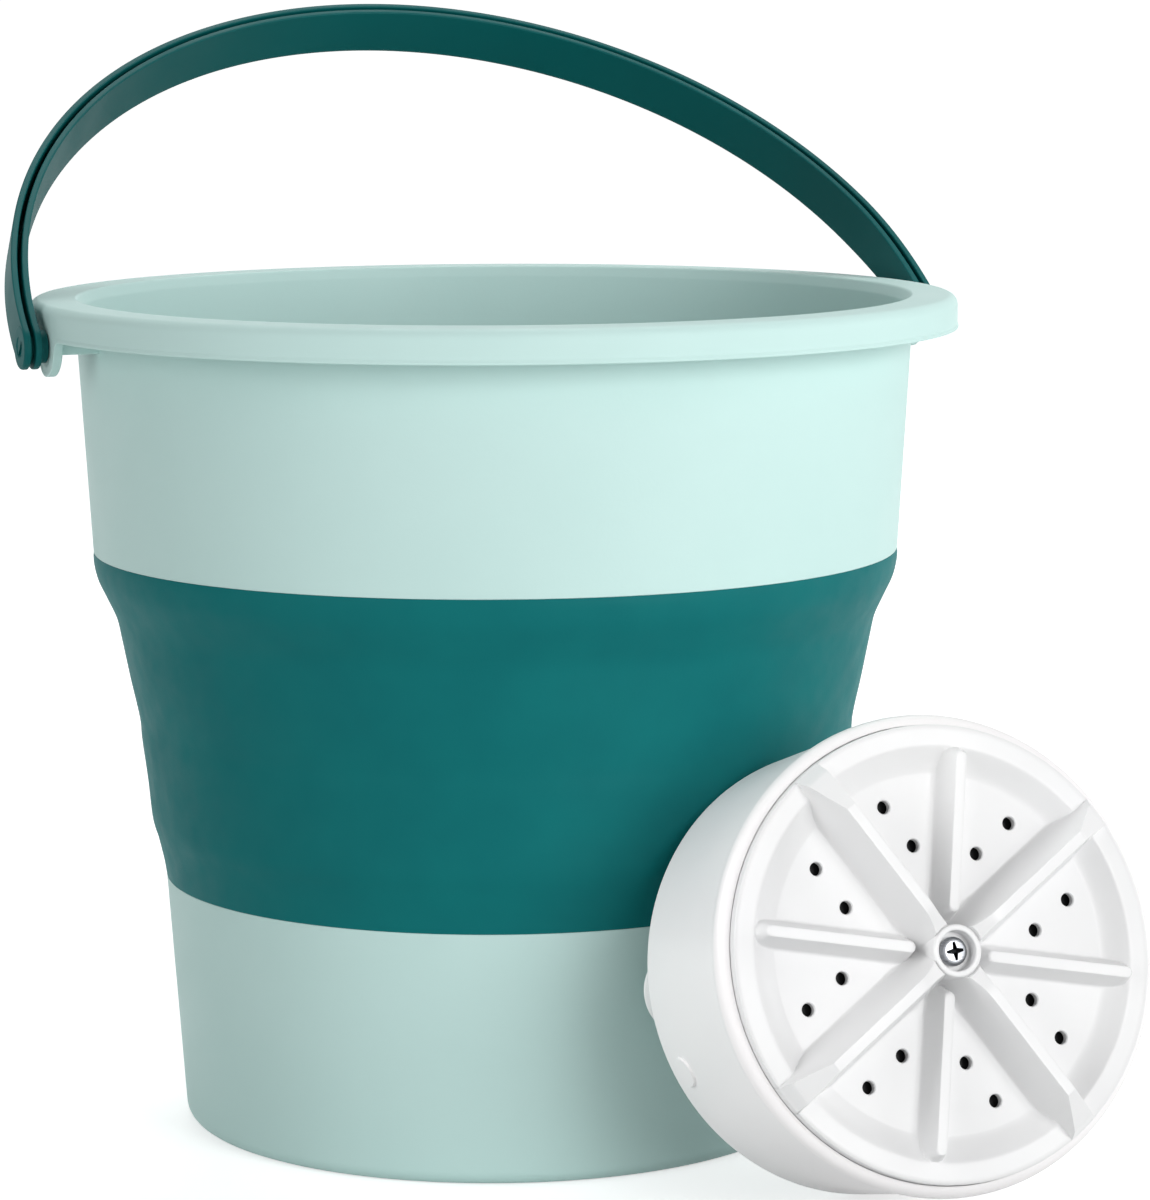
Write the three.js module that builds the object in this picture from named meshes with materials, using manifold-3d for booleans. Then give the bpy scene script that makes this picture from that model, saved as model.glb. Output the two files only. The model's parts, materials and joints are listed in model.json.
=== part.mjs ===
// A folding mini washing machine: a bucket that folds flat, with a carrying
// handle, and the round washing unit that leans on its front right side.
// Millimetres, +Z up. The origin is the centre of the bucket's base, on the floor.

import * as THREE from 'three';
import { mergeVertices } from 'three/addons/utils/BufferGeometryUtils.js';
import Module from 'manifold-3d';

const wasm = await Module();
wasm.setup();

// Bucket
const BUCKET_HEIGHT = 260;
const BASE_RADIUS = 99.2;
const BASE_ROUND = 5;
const LOWER_FLARE = 5.6;
const BAND_BOTTOM = 78;
const BAND_HEIGHT = 102.7;
const BAND_WALL = 2.8;
const UPPER_SEAM_RADIUS = 126;
const UPPER_FLARE = 4.8;
const WALL = 2.2;
const RIM_WIDTH = 13.5;
const RIM_SKIRT = 10.2;
const RIM_ROUND = 3;
const FLOOR_THICKNESS = 2.6;

// Lugs under the rim that carry the handle
const LUG_DROP = 1.8;
const LUG_LOBE = 9.2;
const LUG_FILLET = 4;
const LUG_THICKNESS = 2.6;
const GUSSET_THICKNESS = 2;
const GUSSET_DROP = 4;

// Handle
const HANDLE_YAW = 21.4;
const HANDLE_LEAN = 53.4;
const HANDLE_GAP = 2.6;
const HANDLE_THICKNESS = 5.4;
const HANDLE_WIDTH = 16.4;
const HANDLE_EXTRA_REACH = 6.2;
const HANDLE_FLANGE = 2;
const HANDLE_WEB = 2;
const HANDLE_END_RADIUS = 6.8;
const PEG_RADIUS = 3.2;
const PEG_COLLAR_RADIUS = 5;
const PEG_HEAD_LIP = 0.8;
const PEG_HEAD_LENGTH = 1.5;

// Washing unit: its place, then its casing
const UNIT_YAW = 22.8;
const UNIT_LEAN = 16.3;
const UNIT_SIDE_OFFSET = 63.9;
const UNIT_LEAN_GAP = 0.5;
const CASING_DEPTH = 57.4;
const CASING_REAR_RADIUS = 66.3;
const CASING_FRONT_RADIUS = 68;
const CASING_WALL = 2.4;
const CASING_REAR_ROUND = 2;
const BEAD_ROUND = 3.9;
const BEAD_PROUD = 1.6;
const LIP_WALL = 1.8;
const DECK_THICKNESS = 2.4;
const DECK_GAP = 2.1;

// Impeller
const IMPELLER_GAP = 0.55;
const IMPELLER_RISE = 6.9;
const IMPELLER_SKIRT = 6.7;
const IMPELLER_SKIRT_WALL = 2;
const IMPELLER_EDGE_CHAMFER = 0.9;
const IMPELLER_FLOOR = 2.2;
const RING_WIDTH = 5.95;
const DISH_DEPTH = 3.9;
const DISH_SLOPE = 6;
const BOSS_RADIUS = 7.7;
const BOSS_HEIGHT = 11.6;
const BOSS_CHAMFER = 0.7;
const RECESS_RADIUS = 5.85;
const RECESS_DEPTH = 4;
const RECESS_WEB = 3;
const RIB_CREST = 3.3;
const TALL_RIB_ROOT = 12.4;
const TALL_RIB_RISE = 14.4;
const TALL_RIB_HUB_LENGTH = 8;
const TALL_RIB_END_RISE = 6.6;
const TALL_RIB_FLAT = 8.6;
const TALL_RIB_FLAT_LENGTH = 12.7;
const LOW_RIB_ROOT = 8.4;
const LOW_RIB_RISE = 8.1;
const LOW_RIB_START = 11.5;
const LOW_RIB_TAPER = 1.4;
const HOLE_RADIUS = 1.95;
const OUTER_HOLE_CIRCLE = 44.96;
const INNER_HOLE_CIRCLE = 31.88;
const OUTER_HOLE_ANGLE = 26.56;
const INNER_HOLE_ANGLE = 18.52;
const IMPELLER_TURN = -10.97;

// Impeller screw
const BIG_SCREW_RADIUS = 1.9;
const BIG_SCREW_LENGTH = 14;
const BIG_HEAD_RADIUS = 4.35;
const BIG_HEAD_HEIGHT = 2.2;
const BIG_HEAD_TOP_SHARE = 0.8;
const CROSS_LENGTH = 4.5;
const CROSS_WIDTH = 1;
const CROSS_DEPTH = 1.1;

// Output shaft, its bushes and its seal
const SHAFT_RADIUS = 4;
const SHAFT_FLAT = 0.9;
const SHAFT_HOLE_DEPTH = 12;
const BUSH_WALL = 2.3;
const BUSH_LENGTH = 7;
const SEAL_WALL = 3.7;
const SEAL_LENGTH = 3.4;
const HUB_WALL = 2.7;
const BUSH_LIP = 1.6;

// Gears
const GEAR_PITCH = 24;
const GEAR_TEETH = 48;
const PINION_TEETH = 10;
const GEAR_WIDTH = 7;
const GEAR_HUB_WALL = 4;
const GEAR_HUB_SIDE = 1.2;
const PRESSURE_ANGLE = 20;
const BACKLASH = 0.3;

// Motor and its plate
const MOTOR_RADIUS = 17;
const MOTOR_LENGTH = 24;
const MOTOR_ANGLE = 241;
const MOTOR_SHAFT_RADIUS = 1.5;
const MOTOR_SCREW_CIRCLE = 9;
const PLATE_THICKNESS = 1.6;
const PLATE_RADIUS = 51;
const PLATE_GEAR_GAP = 3;

// Rear cover and what it carries
const COVER_RECESS = 2;
const COVER_THICKNESS = 2.4;
const GASKET_WIDTH = 1.5;
const GASKET_HEIGHT = 0.9;
const LEDGE_HEIGHT = 1.5;
const POST_RADIUS = 3.4;
const PLATE_POST_CIRCLE = 46;
const SMALL_SCREW_RADIUS = 1.3;
const SMALL_SCREW_LENGTH = 10;
const SMALL_HEAD_RADIUS = 2.8;
const SMALL_HEAD_HEIGHT = 1.4;
const CUP_CIRCLE = 50;
const CUP_FIRST_ANGLE = 61;
const CUP_RADIUS = 13;
const CUP_HEIGHT = 10;
const CUP_WALL = 1.6;
const CUP_NECK_RADIUS = 2.8;
const CUP_COLLAR_RADIUS = 6;
const CUP_COLLAR_HEIGHT = 3;
const CUP_BARB = 1.3;

// Control board and power inlet
const BOARD_LENGTH = 34;
const BOARD_WIDTH = 20;
const BOARD_THICKNESS = 1.6;
const BOARD_RISE = 6;
const BOARD_CIRCLE = 38;
const BOARD_PIN_RADIUS = 2.4;
const BOARD_PIN_TIP = 1.2;
const BLOCK_HEIGHT = 7;
const INLET_ANGLE = 202;
const INLET_RADIUS = 3.6;
const INLET_BORE = 2.6;
const INLET_LENGTH = 11;
const INLET_RISE = 11.7;
const PLUG_FLANGE_RADIUS = 4.9;
const PLUG_FLANGE_HEIGHT = 0.9;
const PLUG_LENGTH = 5;

// Clearances: turning fit, seat inside the leaning unit, and the overrun of every cut
const TURN_GAP = 0.2;
const SEAT_GAP = 0.3;
const CUT = 1;

// How finely round things are faceted
const LARGE_SIDES = 48;
const CASING_SIDES = 48;
const MEDIUM_SIDES = 16;
const SMALL_SIDES = 10;
const HANDLE_STEPS = 36;
const ARC_STEPS = 3;
const WELD = 1e-4;

// Levels and radii of the bucket
const BAND_TOP = BAND_BOTTOM + BAND_HEIGHT;
const SKIRT_BOTTOM = BUCKET_HEIGHT - RIM_SKIRT;
const PIVOT_Z = SKIRT_BOTTOM - LUG_DROP;
const LOWER_SEAM_RADIUS = BASE_RADIUS + LOWER_FLARE;
const WALL_TOP_RADIUS = UPPER_SEAM_RADIUS + UPPER_FLARE;
const MOUTH_RADIUS = WALL_TOP_RADIUS - WALL;
const RIM_RADIUS = WALL_TOP_RADIUS + RIM_WIDTH;

// Levels of the unit, from the casing's rear edge forwards
const COVER_FRONT = COVER_RECESS + COVER_THICKNESS;
const RING_LEVEL = CASING_DEPTH + IMPELLER_RISE;
const DISH_LEVEL = RING_LEVEL - DISH_DEPTH;
const IMPELLER_UNDERSIDE = DISH_LEVEL - IMPELLER_FLOOR;
const IMPELLER_LOWEST = RING_LEVEL - IMPELLER_SKIRT;
const DECK_TOP = IMPELLER_LOWEST - DECK_GAP;
const DECK_BOTTOM = DECK_TOP - DECK_THICKNESS;
const BOSS_TOP = DISH_LEVEL + BOSS_HEIGHT;
const RECESS_FLOOR = BOSS_TOP - RECESS_DEPTH;
const HUB_TOP = IMPELLER_UNDERSIDE - 2 * SEAT_GAP;
const SEAL_SEAT = HUB_TOP - SEAL_LENGTH - 2 * SEAT_GAP;
const FRONT_BUSH_TOP = SEAL_SEAT - BUSH_LIP - SEAT_GAP;
const FRONT_BUSH_BOTTOM = FRONT_BUSH_TOP - BUSH_LENGTH;
const GEAR_TOP = FRONT_BUSH_BOTTOM - 2 * SEAT_GAP - GEAR_HUB_SIDE;
const GEAR_BOTTOM = GEAR_TOP - GEAR_WIDTH;
const PLATE_TOP = GEAR_BOTTOM - PLATE_GEAR_GAP;
const PLATE_BOTTOM = PLATE_TOP - PLATE_THICKNESS;
const MOTOR_TOP = PLATE_BOTTOM - SEAT_GAP;
const MOTOR_BOTTOM = MOTOR_TOP - MOTOR_LENGTH;
const REAR_SEAT = COVER_FRONT + CUT;
const REAR_BUSH_BOTTOM = REAR_SEAT + SEAT_GAP;
const REAR_BUSH_TOP = REAR_BUSH_BOTTOM + BUSH_LENGTH;
const SHAFT_BOTTOM = REAR_BUSH_BOTTOM + SEAT_GAP;
const SOCKET_TOP = RECESS_FLOOR - RECESS_WEB;
const SHAFT_TOP = SOCKET_TOP - SEAT_GAP;

// Radii of the unit
const BEAD_CENTRE = CASING_FRONT_RADIUS + BEAD_PROUD - BEAD_ROUND;
const WELL_RADIUS = CASING_FRONT_RADIUS - LIP_WALL;
const IMPELLER_RADIUS = WELL_RADIUS - IMPELLER_GAP;
const BUSH_RADIUS = SHAFT_RADIUS + TURN_GAP + BUSH_WALL;
const SEAL_RADIUS = SHAFT_RADIUS + TURN_GAP + SEAL_WALL;
const HUB_RADIUS = SEAL_RADIUS + SEAT_GAP + HUB_WALL;
const GEAR_MODULE = 2 * GEAR_PITCH / GEAR_TEETH;
const PINION_PITCH = GEAR_MODULE * PINION_TEETH / 2;
const MOTOR_OFFSET = GEAR_PITCH + PINION_PITCH;

const radians = THREE.MathUtils.degToRad;

// Turns a closed three.js geometry into a solid, with its faces pointing out
function solidOf(geometry) {
  const bare = geometry.clone();
  for (const name of Object.keys(bare.attributes)) {
    if (name !== 'position') bare.deleteAttribute(name);
  }
  const merged = mergeVertices(bare, WELD);
  const places = Array.from(merged.attributes.position.array);
  const corners = [];
  for (let i = 0; i < merged.index.count; i += 3) {
    const [a, b, c] = merged.index.array.slice(i, i + 3);
    if (a !== b && b !== c && a !== c) corners.push([a, b, c]);
  }
  if (signedVolume(places, corners) < 0) {
    for (const corner of corners) corner.reverse();
  }
  return new wasm.Manifold(new wasm.Mesh({
    numProp: 3,
    vertProperties: new Float32Array(places),
    triVerts: new Uint32Array(corners.flat()),
  }));
}

function signedVolume(places, corners) {
  const point = (i) => new THREE.Vector3().fromArray(places, 3 * i);
  let sum = 0;
  for (const [a, b, c] of corners) sum += point(a).dot(point(b).cross(point(c)));
  return sum;
}

function geometryOf(solid) {
  const mesh = solid.getMesh();
  const geometry = new THREE.BufferGeometry();
  geometry.setAttribute('position', new THREE.BufferAttribute(mesh.vertProperties.slice(), 3));
  geometry.setIndex(Array.from(mesh.triVerts));
  geometry.computeVertexNormals();
  return geometry;
}

// Joins solids, then cuts others away
function carve(joined, cut = []) {
  let solid = joined[0];
  for (const other of joined.slice(1)) solid = solid.add(other);
  for (const other of cut) solid = solid.subtract(other);
  return solid;
}

// Points on an arc, as [radius, level] pairs; angles in degrees
function arc(centreRadius, centreLevel, round, from, to, steps = ARC_STEPS) {
  const points = [];
  for (let i = 0; i <= steps; i += 1) {
    const angle = radians(from + (to - from) * i / steps);
    points.push([centreRadius + round * Math.cos(angle), centreLevel + round * Math.sin(angle)]);
  }
  return points;
}

// A solid turned about +Z from [radius, level] points; the outline closes on itself
function turned(outline, sides) {
  const points = [...outline, outline[0]].map(([r, z]) => new THREE.Vector2(r, z));
  return solidOf(new THREE.LatheGeometry(points, sides).rotateX(Math.PI / 2));
}

// A round bar or hole along +Z
function bar(radius, bottom, top, sides = SMALL_SIDES) {
  const geometry = new THREE.CylinderGeometry(radius, radius, top - bottom, sides);
  return solidOf(geometry.rotateX(Math.PI / 2).translate(0, 0, (top + bottom) / 2));
}

// A block between two corners
function block(low, high) {
  const size = high.map((value, i) => value - low[i]);
  const middle = high.map((value, i) => (value + low[i]) / 2);
  return solidOf(new THREE.BoxGeometry(...size).translate(...middle));
}

// An outline in X and Y, raised along Z
function raised(outline, bottom, top) {
  const shape = new THREE.Shape(outline.map(([x, y]) => new THREE.Vector2(x, y)));
  const geometry = new THREE.ExtrudeGeometry(shape, { depth: top - bottom, bevelEnabled: false });
  return solidOf(geometry.translate(0, 0, bottom));
}

// A point on a circle about the axis, angle in degrees
function onCircle(radius, angle) {
  return [radius * Math.cos(radians(angle)), radius * Math.sin(radians(angle))];
}

function movedTo(solid, radius, angle) {
  const [x, y] = onCircle(radius, angle);
  return solid.translate([x, y, 0]);
}

// Copies of a solid turned about +Z, one for each angle
function around(solid, angles) {
  return angles.map((angle) => solid.rotate([0, 0, angle]));
}

// The bucket's outlines

function lowerCup() {
  const inner = LOWER_SEAM_RADIUS - WALL;
  const innerBase = BASE_RADIUS - WALL;
  return turned([
    [0, 0],
    ...arc(BASE_RADIUS - BASE_ROUND, BASE_ROUND, BASE_ROUND, -90, 0),
    [LOWER_SEAM_RADIUS, BAND_BOTTOM],
    [inner, BAND_BOTTOM],
    ...arc(innerBase - BASE_ROUND, FLOOR_THICKNESS + BASE_ROUND, BASE_ROUND, 0, -90),
    [0, FLOOR_THICKNESS],
  ], LARGE_SIDES);
}

// The band's outer line as [height share, width share] between its two seams: a soft
// shoulder above the lower seam, two straight stretches, and a fuller one at the top
const BAND_LINE_SHARES = [
  [0, 0], [0.05, 0.04], [0.12, 0.12], [0.18, 0.2], [0.3, 0.26], [0.42, 0.335],
  [0.49, 0.365], [0.61, 0.49], [0.735, 0.61], [0.8, 0.68], [0.86, 0.81], [0.92, 0.945],
  [0.97, 1], [1, 1],
];
const BAND_STEPS = 10;

function bandLine(steps = BAND_STEPS) {
  const points = BAND_LINE_SHARES.map(([up, out]) => new THREE.Vector2(
    LOWER_SEAM_RADIUS + (UPPER_SEAM_RADIUS - LOWER_SEAM_RADIUS) * out,
    BAND_BOTTOM + BAND_HEIGHT * up,
  ));
  return new THREE.SplineCurve(points).getPoints(steps).map((point) => [point.x, point.y]);
}

function foldingBand() {
  const inside = bandLine(BAND_STEPS / 2).map(([r, z]) => [r - BAND_WALL, z]).reverse();
  return turned([...bandLine(), ...inside], LARGE_SIDES);
}

// Radius of the upper wall's outside at a level
function upperWallRadius(level) {
  const share = (level - BAND_TOP) / (BUCKET_HEIGHT - BAND_TOP);
  return UPPER_SEAM_RADIUS + (WALL_TOP_RADIUS - UPPER_SEAM_RADIUS) * share;
}

function upperWallAndRim() {
  const underside = BUCKET_HEIGHT - WALL;
  const skirtInside = RIM_RADIUS - WALL;
  return turned([
    [UPPER_SEAM_RADIUS - WALL, BAND_TOP],
    [UPPER_SEAM_RADIUS, BAND_TOP],
    [upperWallRadius(underside), underside],
    [skirtInside, underside],
    [skirtInside, SKIRT_BOTTOM],
    [RIM_RADIUS, SKIRT_BOTTOM],
    ...arc(RIM_RADIUS - RIM_ROUND, BUCKET_HEIGHT - RIM_ROUND, RIM_ROUND, 0, 90),
    ...arc(MOUTH_RADIUS + RIM_ROUND, BUCKET_HEIGHT - RIM_ROUND, RIM_ROUND, 90, 180),
  ], LARGE_SIDES);
}

// The lug's outline across the rim: a lobe round the pivot, with fillets into the skirt
function lugOutline() {
  const filletLevel = SKIRT_BOTTOM - LUG_FILLET;
  const rise = THREE.MathUtils.clamp((PIVOT_Z - filletLevel) / LUG_LOBE, -1, 1);
  const start = THREE.MathUtils.radToDeg(Math.asin(rise));
  const half = LUG_LOBE * Math.cos(radians(start));
  const top = BUCKET_HEIGHT - RIM_ROUND;
  const corner = half + LUG_FILLET;
  return [
    [corner, top],
    [-corner, top],
    ...arc(-corner, filletLevel, LUG_FILLET, 90, 0),
    ...arc(0, PIVOT_Z, LUG_LOBE, 180 + start, 360 - start, 3 * ARC_STEPS),
    ...arc(corner, filletLevel, LUG_FILLET, 180, 90),
  ];
}

// Lays a solid raised from an outline [across, level] so that its height runs along +X
function laidAcross(solid) {
  const quarter = 90;
  return solid.rotate([quarter, 0, 0]).rotate([0, 0, quarter]);
}

function lug() {
  const inner = RIM_RADIUS - LUG_THICKNESS;
  const ring = turned([
    [inner, 0], [RIM_RADIUS, 0], [RIM_RADIUS, BUCKET_HEIGHT - RIM_ROUND],
    [inner, BUCKET_HEIGHT - RIM_ROUND],
  ], LARGE_SIDES);
  const plate = laidAcross(raised(lugOutline(), inner - CUT, RIM_RADIUS + CUT)).intersect(ring);
  const gussetBottom = SKIRT_BOTTOM - GUSSET_DROP;
  const gussetSide = PEG_RADIUS + PEG_HEAD_LIP + SEAT_GAP + GUSSET_THICKNESS;
  const gussets = [-1, 1].map((side) => block(
    [upperWallRadius(gussetBottom) - WALL / 2, side * gussetSide - GUSSET_THICKNESS / 2, gussetBottom],
    [inner + LUG_THICKNESS / 2, side * gussetSide + GUSSET_THICKNESS / 2, BUCKET_HEIGHT - WALL / 2],
  ));
  return [plate, ...gussets];
}

function pivotHole() {
  const hole = bar(PEG_RADIUS + SEAT_GAP, RIM_RADIUS - LUG_THICKNESS - CUT, RIM_RADIUS + CUT, MEDIUM_SIDES);
  return hole.rotate([0, 90, 0]).translate([0, 0, PIVOT_Z]);
}

function upperShell() {
  const sides = [HANDLE_YAW, HANDLE_YAW + 180];
  const lugs = lug().flatMap((piece) => around(piece, sides));
  return carve([upperWallAndRim(), ...lugs], around(pivotHole(), sides));
}

// The handle, in its own frame: X along the pivots, Y up the arch, Z across its width

function channelSection() {
  const half = HANDLE_THICKNESS / 2;
  const side = HANDLE_WIDTH / 2;
  const groove = half - HANDLE_FLANGE;
  const grooveFloor = HANDLE_WEB - side;
  return [
    [half, -side], [half, side], [groove, side], [groove, grooveFloor],
    [-groove, grooveFloor], [-groove, side], [-half, side], [-half, -side],
  ];
}

const HANDLE_SPAN = RIM_RADIUS + HANDLE_GAP + HANDLE_THICKNESS / 2;
const HANDLE_REACH = HANDLE_SPAN + HANDLE_EXTRA_REACH;

// Sweeps the channel along half an ellipse, from one pivot to the other
function handleArch() {
  const section = channelSection();
  const places = [];
  for (let step = 0; step <= HANDLE_STEPS; step += 1) {
    const angle = Math.PI * step / HANDLE_STEPS;
    const centre = new THREE.Vector2(HANDLE_SPAN * Math.cos(angle), HANDLE_REACH * Math.sin(angle));
    const out = new THREE.Vector2(HANDLE_REACH * Math.cos(angle), HANDLE_SPAN * Math.sin(angle));
    out.normalize();
    for (const [thick, wide] of section) {
      places.push(centre.x + out.x * thick, centre.y + out.y * thick, wide);
    }
  }
  const count = section.length;
  const faces = [];
  for (let step = 0; step < HANDLE_STEPS; step += 1) {
    for (let i = 0; i < count; i += 1) {
      const here = step * count + i;
      const beside = step * count + (i + 1) % count;
      faces.push(here, beside, beside + count, here, beside + count, here + count);
    }
  }
  const cap = THREE.ShapeUtils.triangulateShape(section.map(([x, y]) => new THREE.Vector2(x, y)), []);
  const last = HANDLE_STEPS * count;
  for (const [a, b, c] of cap) faces.push(a, c, b, last + a, last + b, last + c);
  const geometry = new THREE.BufferGeometry();
  geometry.setAttribute('position', new THREE.Float32BufferAttribute(places, 3));
  geometry.setIndex(faces);
  return solidOf(geometry);
}

// One end of the handle: a round end on each flange, the collar and the snap peg
function handleEnd() {
  const outside = HANDLE_SPAN + HANDLE_THICKNESS / 2;
  const inside = HANDLE_SPAN - HANDLE_THICKNESS / 2;
  const lugInner = RIM_RADIUS - LUG_THICKNESS;
  const headStart = lugInner - SEAT_GAP;
  const pieces = [
    bar(HANDLE_END_RADIUS, outside - HANDLE_FLANGE, outside, MEDIUM_SIDES),
    bar(HANDLE_END_RADIUS, inside, inside + HANDLE_FLANGE, MEDIUM_SIDES),
    bar(PEG_COLLAR_RADIUS, RIM_RADIUS + SEAT_GAP, inside + HANDLE_FLANGE / 2),
    bar(PEG_RADIUS, headStart - PEG_HEAD_LENGTH / 2, outside - HANDLE_FLANGE / 2),
    bar(PEG_RADIUS + PEG_HEAD_LIP, headStart - PEG_HEAD_LENGTH, headStart),
  ];
  return pieces.map((piece) => piece.rotate([0, 90, 0]));
}

function handle() {
  const ends = handleEnd().flatMap((piece) => around(piece, [0, 180]));
  return carve([handleArch(), ...ends]);
}

// The washing unit, in its own frame: Z forwards from the casing's rear edge

const THREE_WAYS = [0, 120, 240];
const FOUR_WAYS = [0, 90, 180, 270];
const cupAngles = THREE_WAYS.map((turn) => turn + CUP_FIRST_ANGLE);
const rearScrewAngles = cupAngles.map((angle) => angle + 60);
const COVER_OUTER = CASING_REAR_RADIUS - CASING_WALL - SEAT_GAP;
const LEDGE_LEVEL = COVER_FRONT + GASKET_HEIGHT + SEAT_GAP;
const POST_BOTTOM = COVER_FRONT + SEAT_GAP;
const REAR_POST_CIRCLE = COVER_OUTER - GASKET_WIDTH - POST_RADIUS - SEAT_GAP;
const SCREW_HOLE = SMALL_SCREW_RADIUS + SEAT_GAP;

function casingRearRound() {
  const centre = CASING_REAR_RADIUS - CASING_REAR_ROUND;
  return arc(centre, CASING_REAR_ROUND, CASING_REAR_ROUND, -90, 0);
}

function casingTurned() {
  const toDegrees = THREE.MathUtils.radToDeg;
  const beadStart = -toDegrees(Math.acos((CASING_FRONT_RADIUS - BEAD_CENTRE) / BEAD_ROUND));
  const beadEnd = toDegrees(Math.acos((WELL_RADIUS - BEAD_CENTRE) / BEAD_ROUND));
  const rearInner = CASING_REAR_RADIUS - CASING_WALL;
  const ledgeInner = rearInner - GASKET_WIDTH - SEAT_GAP;
  return turned([
    [rearInner, 0],
    ...casingRearRound(),
    ...arc(BEAD_CENTRE, CASING_DEPTH, BEAD_ROUND, beadStart, beadEnd, 2 * ARC_STEPS),
    [WELL_RADIUS, DECK_TOP],
    [HUB_RADIUS - HUB_WALL / 2, DECK_TOP],
    [HUB_RADIUS - HUB_WALL / 2, DECK_BOTTOM],
    [CASING_FRONT_RADIUS - CASING_WALL, DECK_BOTTOM],
    [rearInner, LEDGE_LEVEL + 2 * LEDGE_HEIGHT],
    [ledgeInner, LEDGE_LEVEL + LEDGE_HEIGHT],
    [ledgeInner, LEDGE_LEVEL],
    [rearInner, LEDGE_LEVEL],
  ], CASING_SIDES);
}

// The hub through the deck: a seat for the seal above, and one for the bush below
function casingHub() {
  const bushSeat = BUSH_RADIUS + SEAT_GAP;
  const sealSeat = SEAL_RADIUS + SEAT_GAP;
  const lipInner = SHAFT_RADIUS + BUSH_LIP;
  const lipLevel = SEAL_SEAT - BUSH_LIP;
  const bottom = FRONT_BUSH_BOTTOM - SEAT_GAP;
  return turned([
    [HUB_RADIUS, HUB_TOP],
    [sealSeat, HUB_TOP],
    [sealSeat, SEAL_SEAT],
    [lipInner, SEAL_SEAT],
    [lipInner, lipLevel],
    [bushSeat, lipLevel],
    [bushSeat, bottom],
    [bushSeat + HUB_WALL, bottom],
    [bushSeat + HUB_WALL, DECK_BOTTOM - BUSH_LIP],
    [HUB_RADIUS, DECK_BOTTOM - BUSH_LIP],
  ], MEDIUM_SIDES);
}

// Moves a solid made round +Z so that it points out of the casing's side at the inlet
function atInlet(solid) {
  return solid.rotate([0, 90, 0]).rotate([0, 0, INLET_ANGLE]).translate([0, 0, INLET_RISE]);
}

// Radius of the casing's outside at a level
function casingRadius(level) {
  const share = level / CASING_DEPTH;
  return CASING_REAR_RADIUS + (CASING_FRONT_RADIUS - CASING_REAR_RADIUS) * share;
}

const INLET_FACE = casingRadius(INLET_RISE) - PLUG_FLANGE_HEIGHT / 2;

function casing() {
  const deckHold = DECK_BOTTOM + DECK_THICKNESS / 2;
  const rearPost = bar(POST_RADIUS, POST_BOTTOM, deckHold).translate([REAR_POST_CIRCLE, 0, 0]);
  const rearWeb = block(
    [REAR_POST_CIRCLE, -SMALL_SCREW_RADIUS, LEDGE_LEVEL + LEDGE_HEIGHT],
    [COVER_OUTER + CASING_WALL / 2, SMALL_SCREW_RADIUS, deckHold],
  );
  const platePost = bar(POST_RADIUS, PLATE_TOP + SEAT_GAP, deckHold).translate([PLATE_POST_CIRCLE, 0, 0]);
  const screwReach = SMALL_SCREW_LENGTH + CUT;
  const rearHole = bar(SCREW_HOLE, POST_BOTTOM - CUT, POST_BOTTOM + screwReach);
  const plateHole = bar(SCREW_HOLE, PLATE_TOP - CUT, PLATE_TOP + screwReach);
  const spotFace = bar(PLUG_FLANGE_RADIUS + SEAT_GAP, INLET_FACE, INLET_FACE + CASING_WALL, MEDIUM_SIDES);
  const inletEnd = INLET_FACE - 2 * CASING_WALL;
  const inletHole = bar(INLET_RADIUS + SEAT_GAP, inletEnd, INLET_FACE + CUT, MEDIUM_SIDES);
  return carve(
    [
      casingTurned(),
      casingHub(),
      ...around(rearPost, rearScrewAngles),
      ...around(rearWeb, rearScrewAngles),
      ...around(platePost, cupAngles),
    ],
    [
      ...rearScrewAngles.map((angle) => movedTo(rearHole, REAR_POST_CIRCLE, angle)),
      ...cupAngles.map((angle) => movedTo(plateHole, PLATE_POST_CIRCLE, angle)),
      atInlet(spotFace),
      atInlet(inletHole),
    ],
  );
}

// Impeller

// A rib along +X: its root and crest are two rectangles, each given by its
// ends along X and its width, at two levels
function wedge(root, rootLevel, crest, crestStartLevel, crestEndLevel) {
  const geometry = new THREE.BoxGeometry(1, 1, 1);
  const places = geometry.attributes.position;
  for (let i = 0; i < places.count; i += 1) {
    const atEnd = places.getX(i) > 0;
    const atTop = places.getZ(i) > 0;
    const from = atTop ? crest : root;
    const width = atEnd ? from.endWidth : from.startWidth;
    const crestLevel = atEnd ? crestEndLevel : crestStartLevel;
    places.setXYZ(i, atEnd ? from.end : from.start, Math.sign(places.getY(i)) * width / 2,
      atTop ? crestLevel : rootLevel);
  }
  return solidOf(geometry);
}

const RING_INNER = IMPELLER_RADIUS - RING_WIDTH;
const RIB_BURY = IMPELLER_FLOOR / 2;

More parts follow.
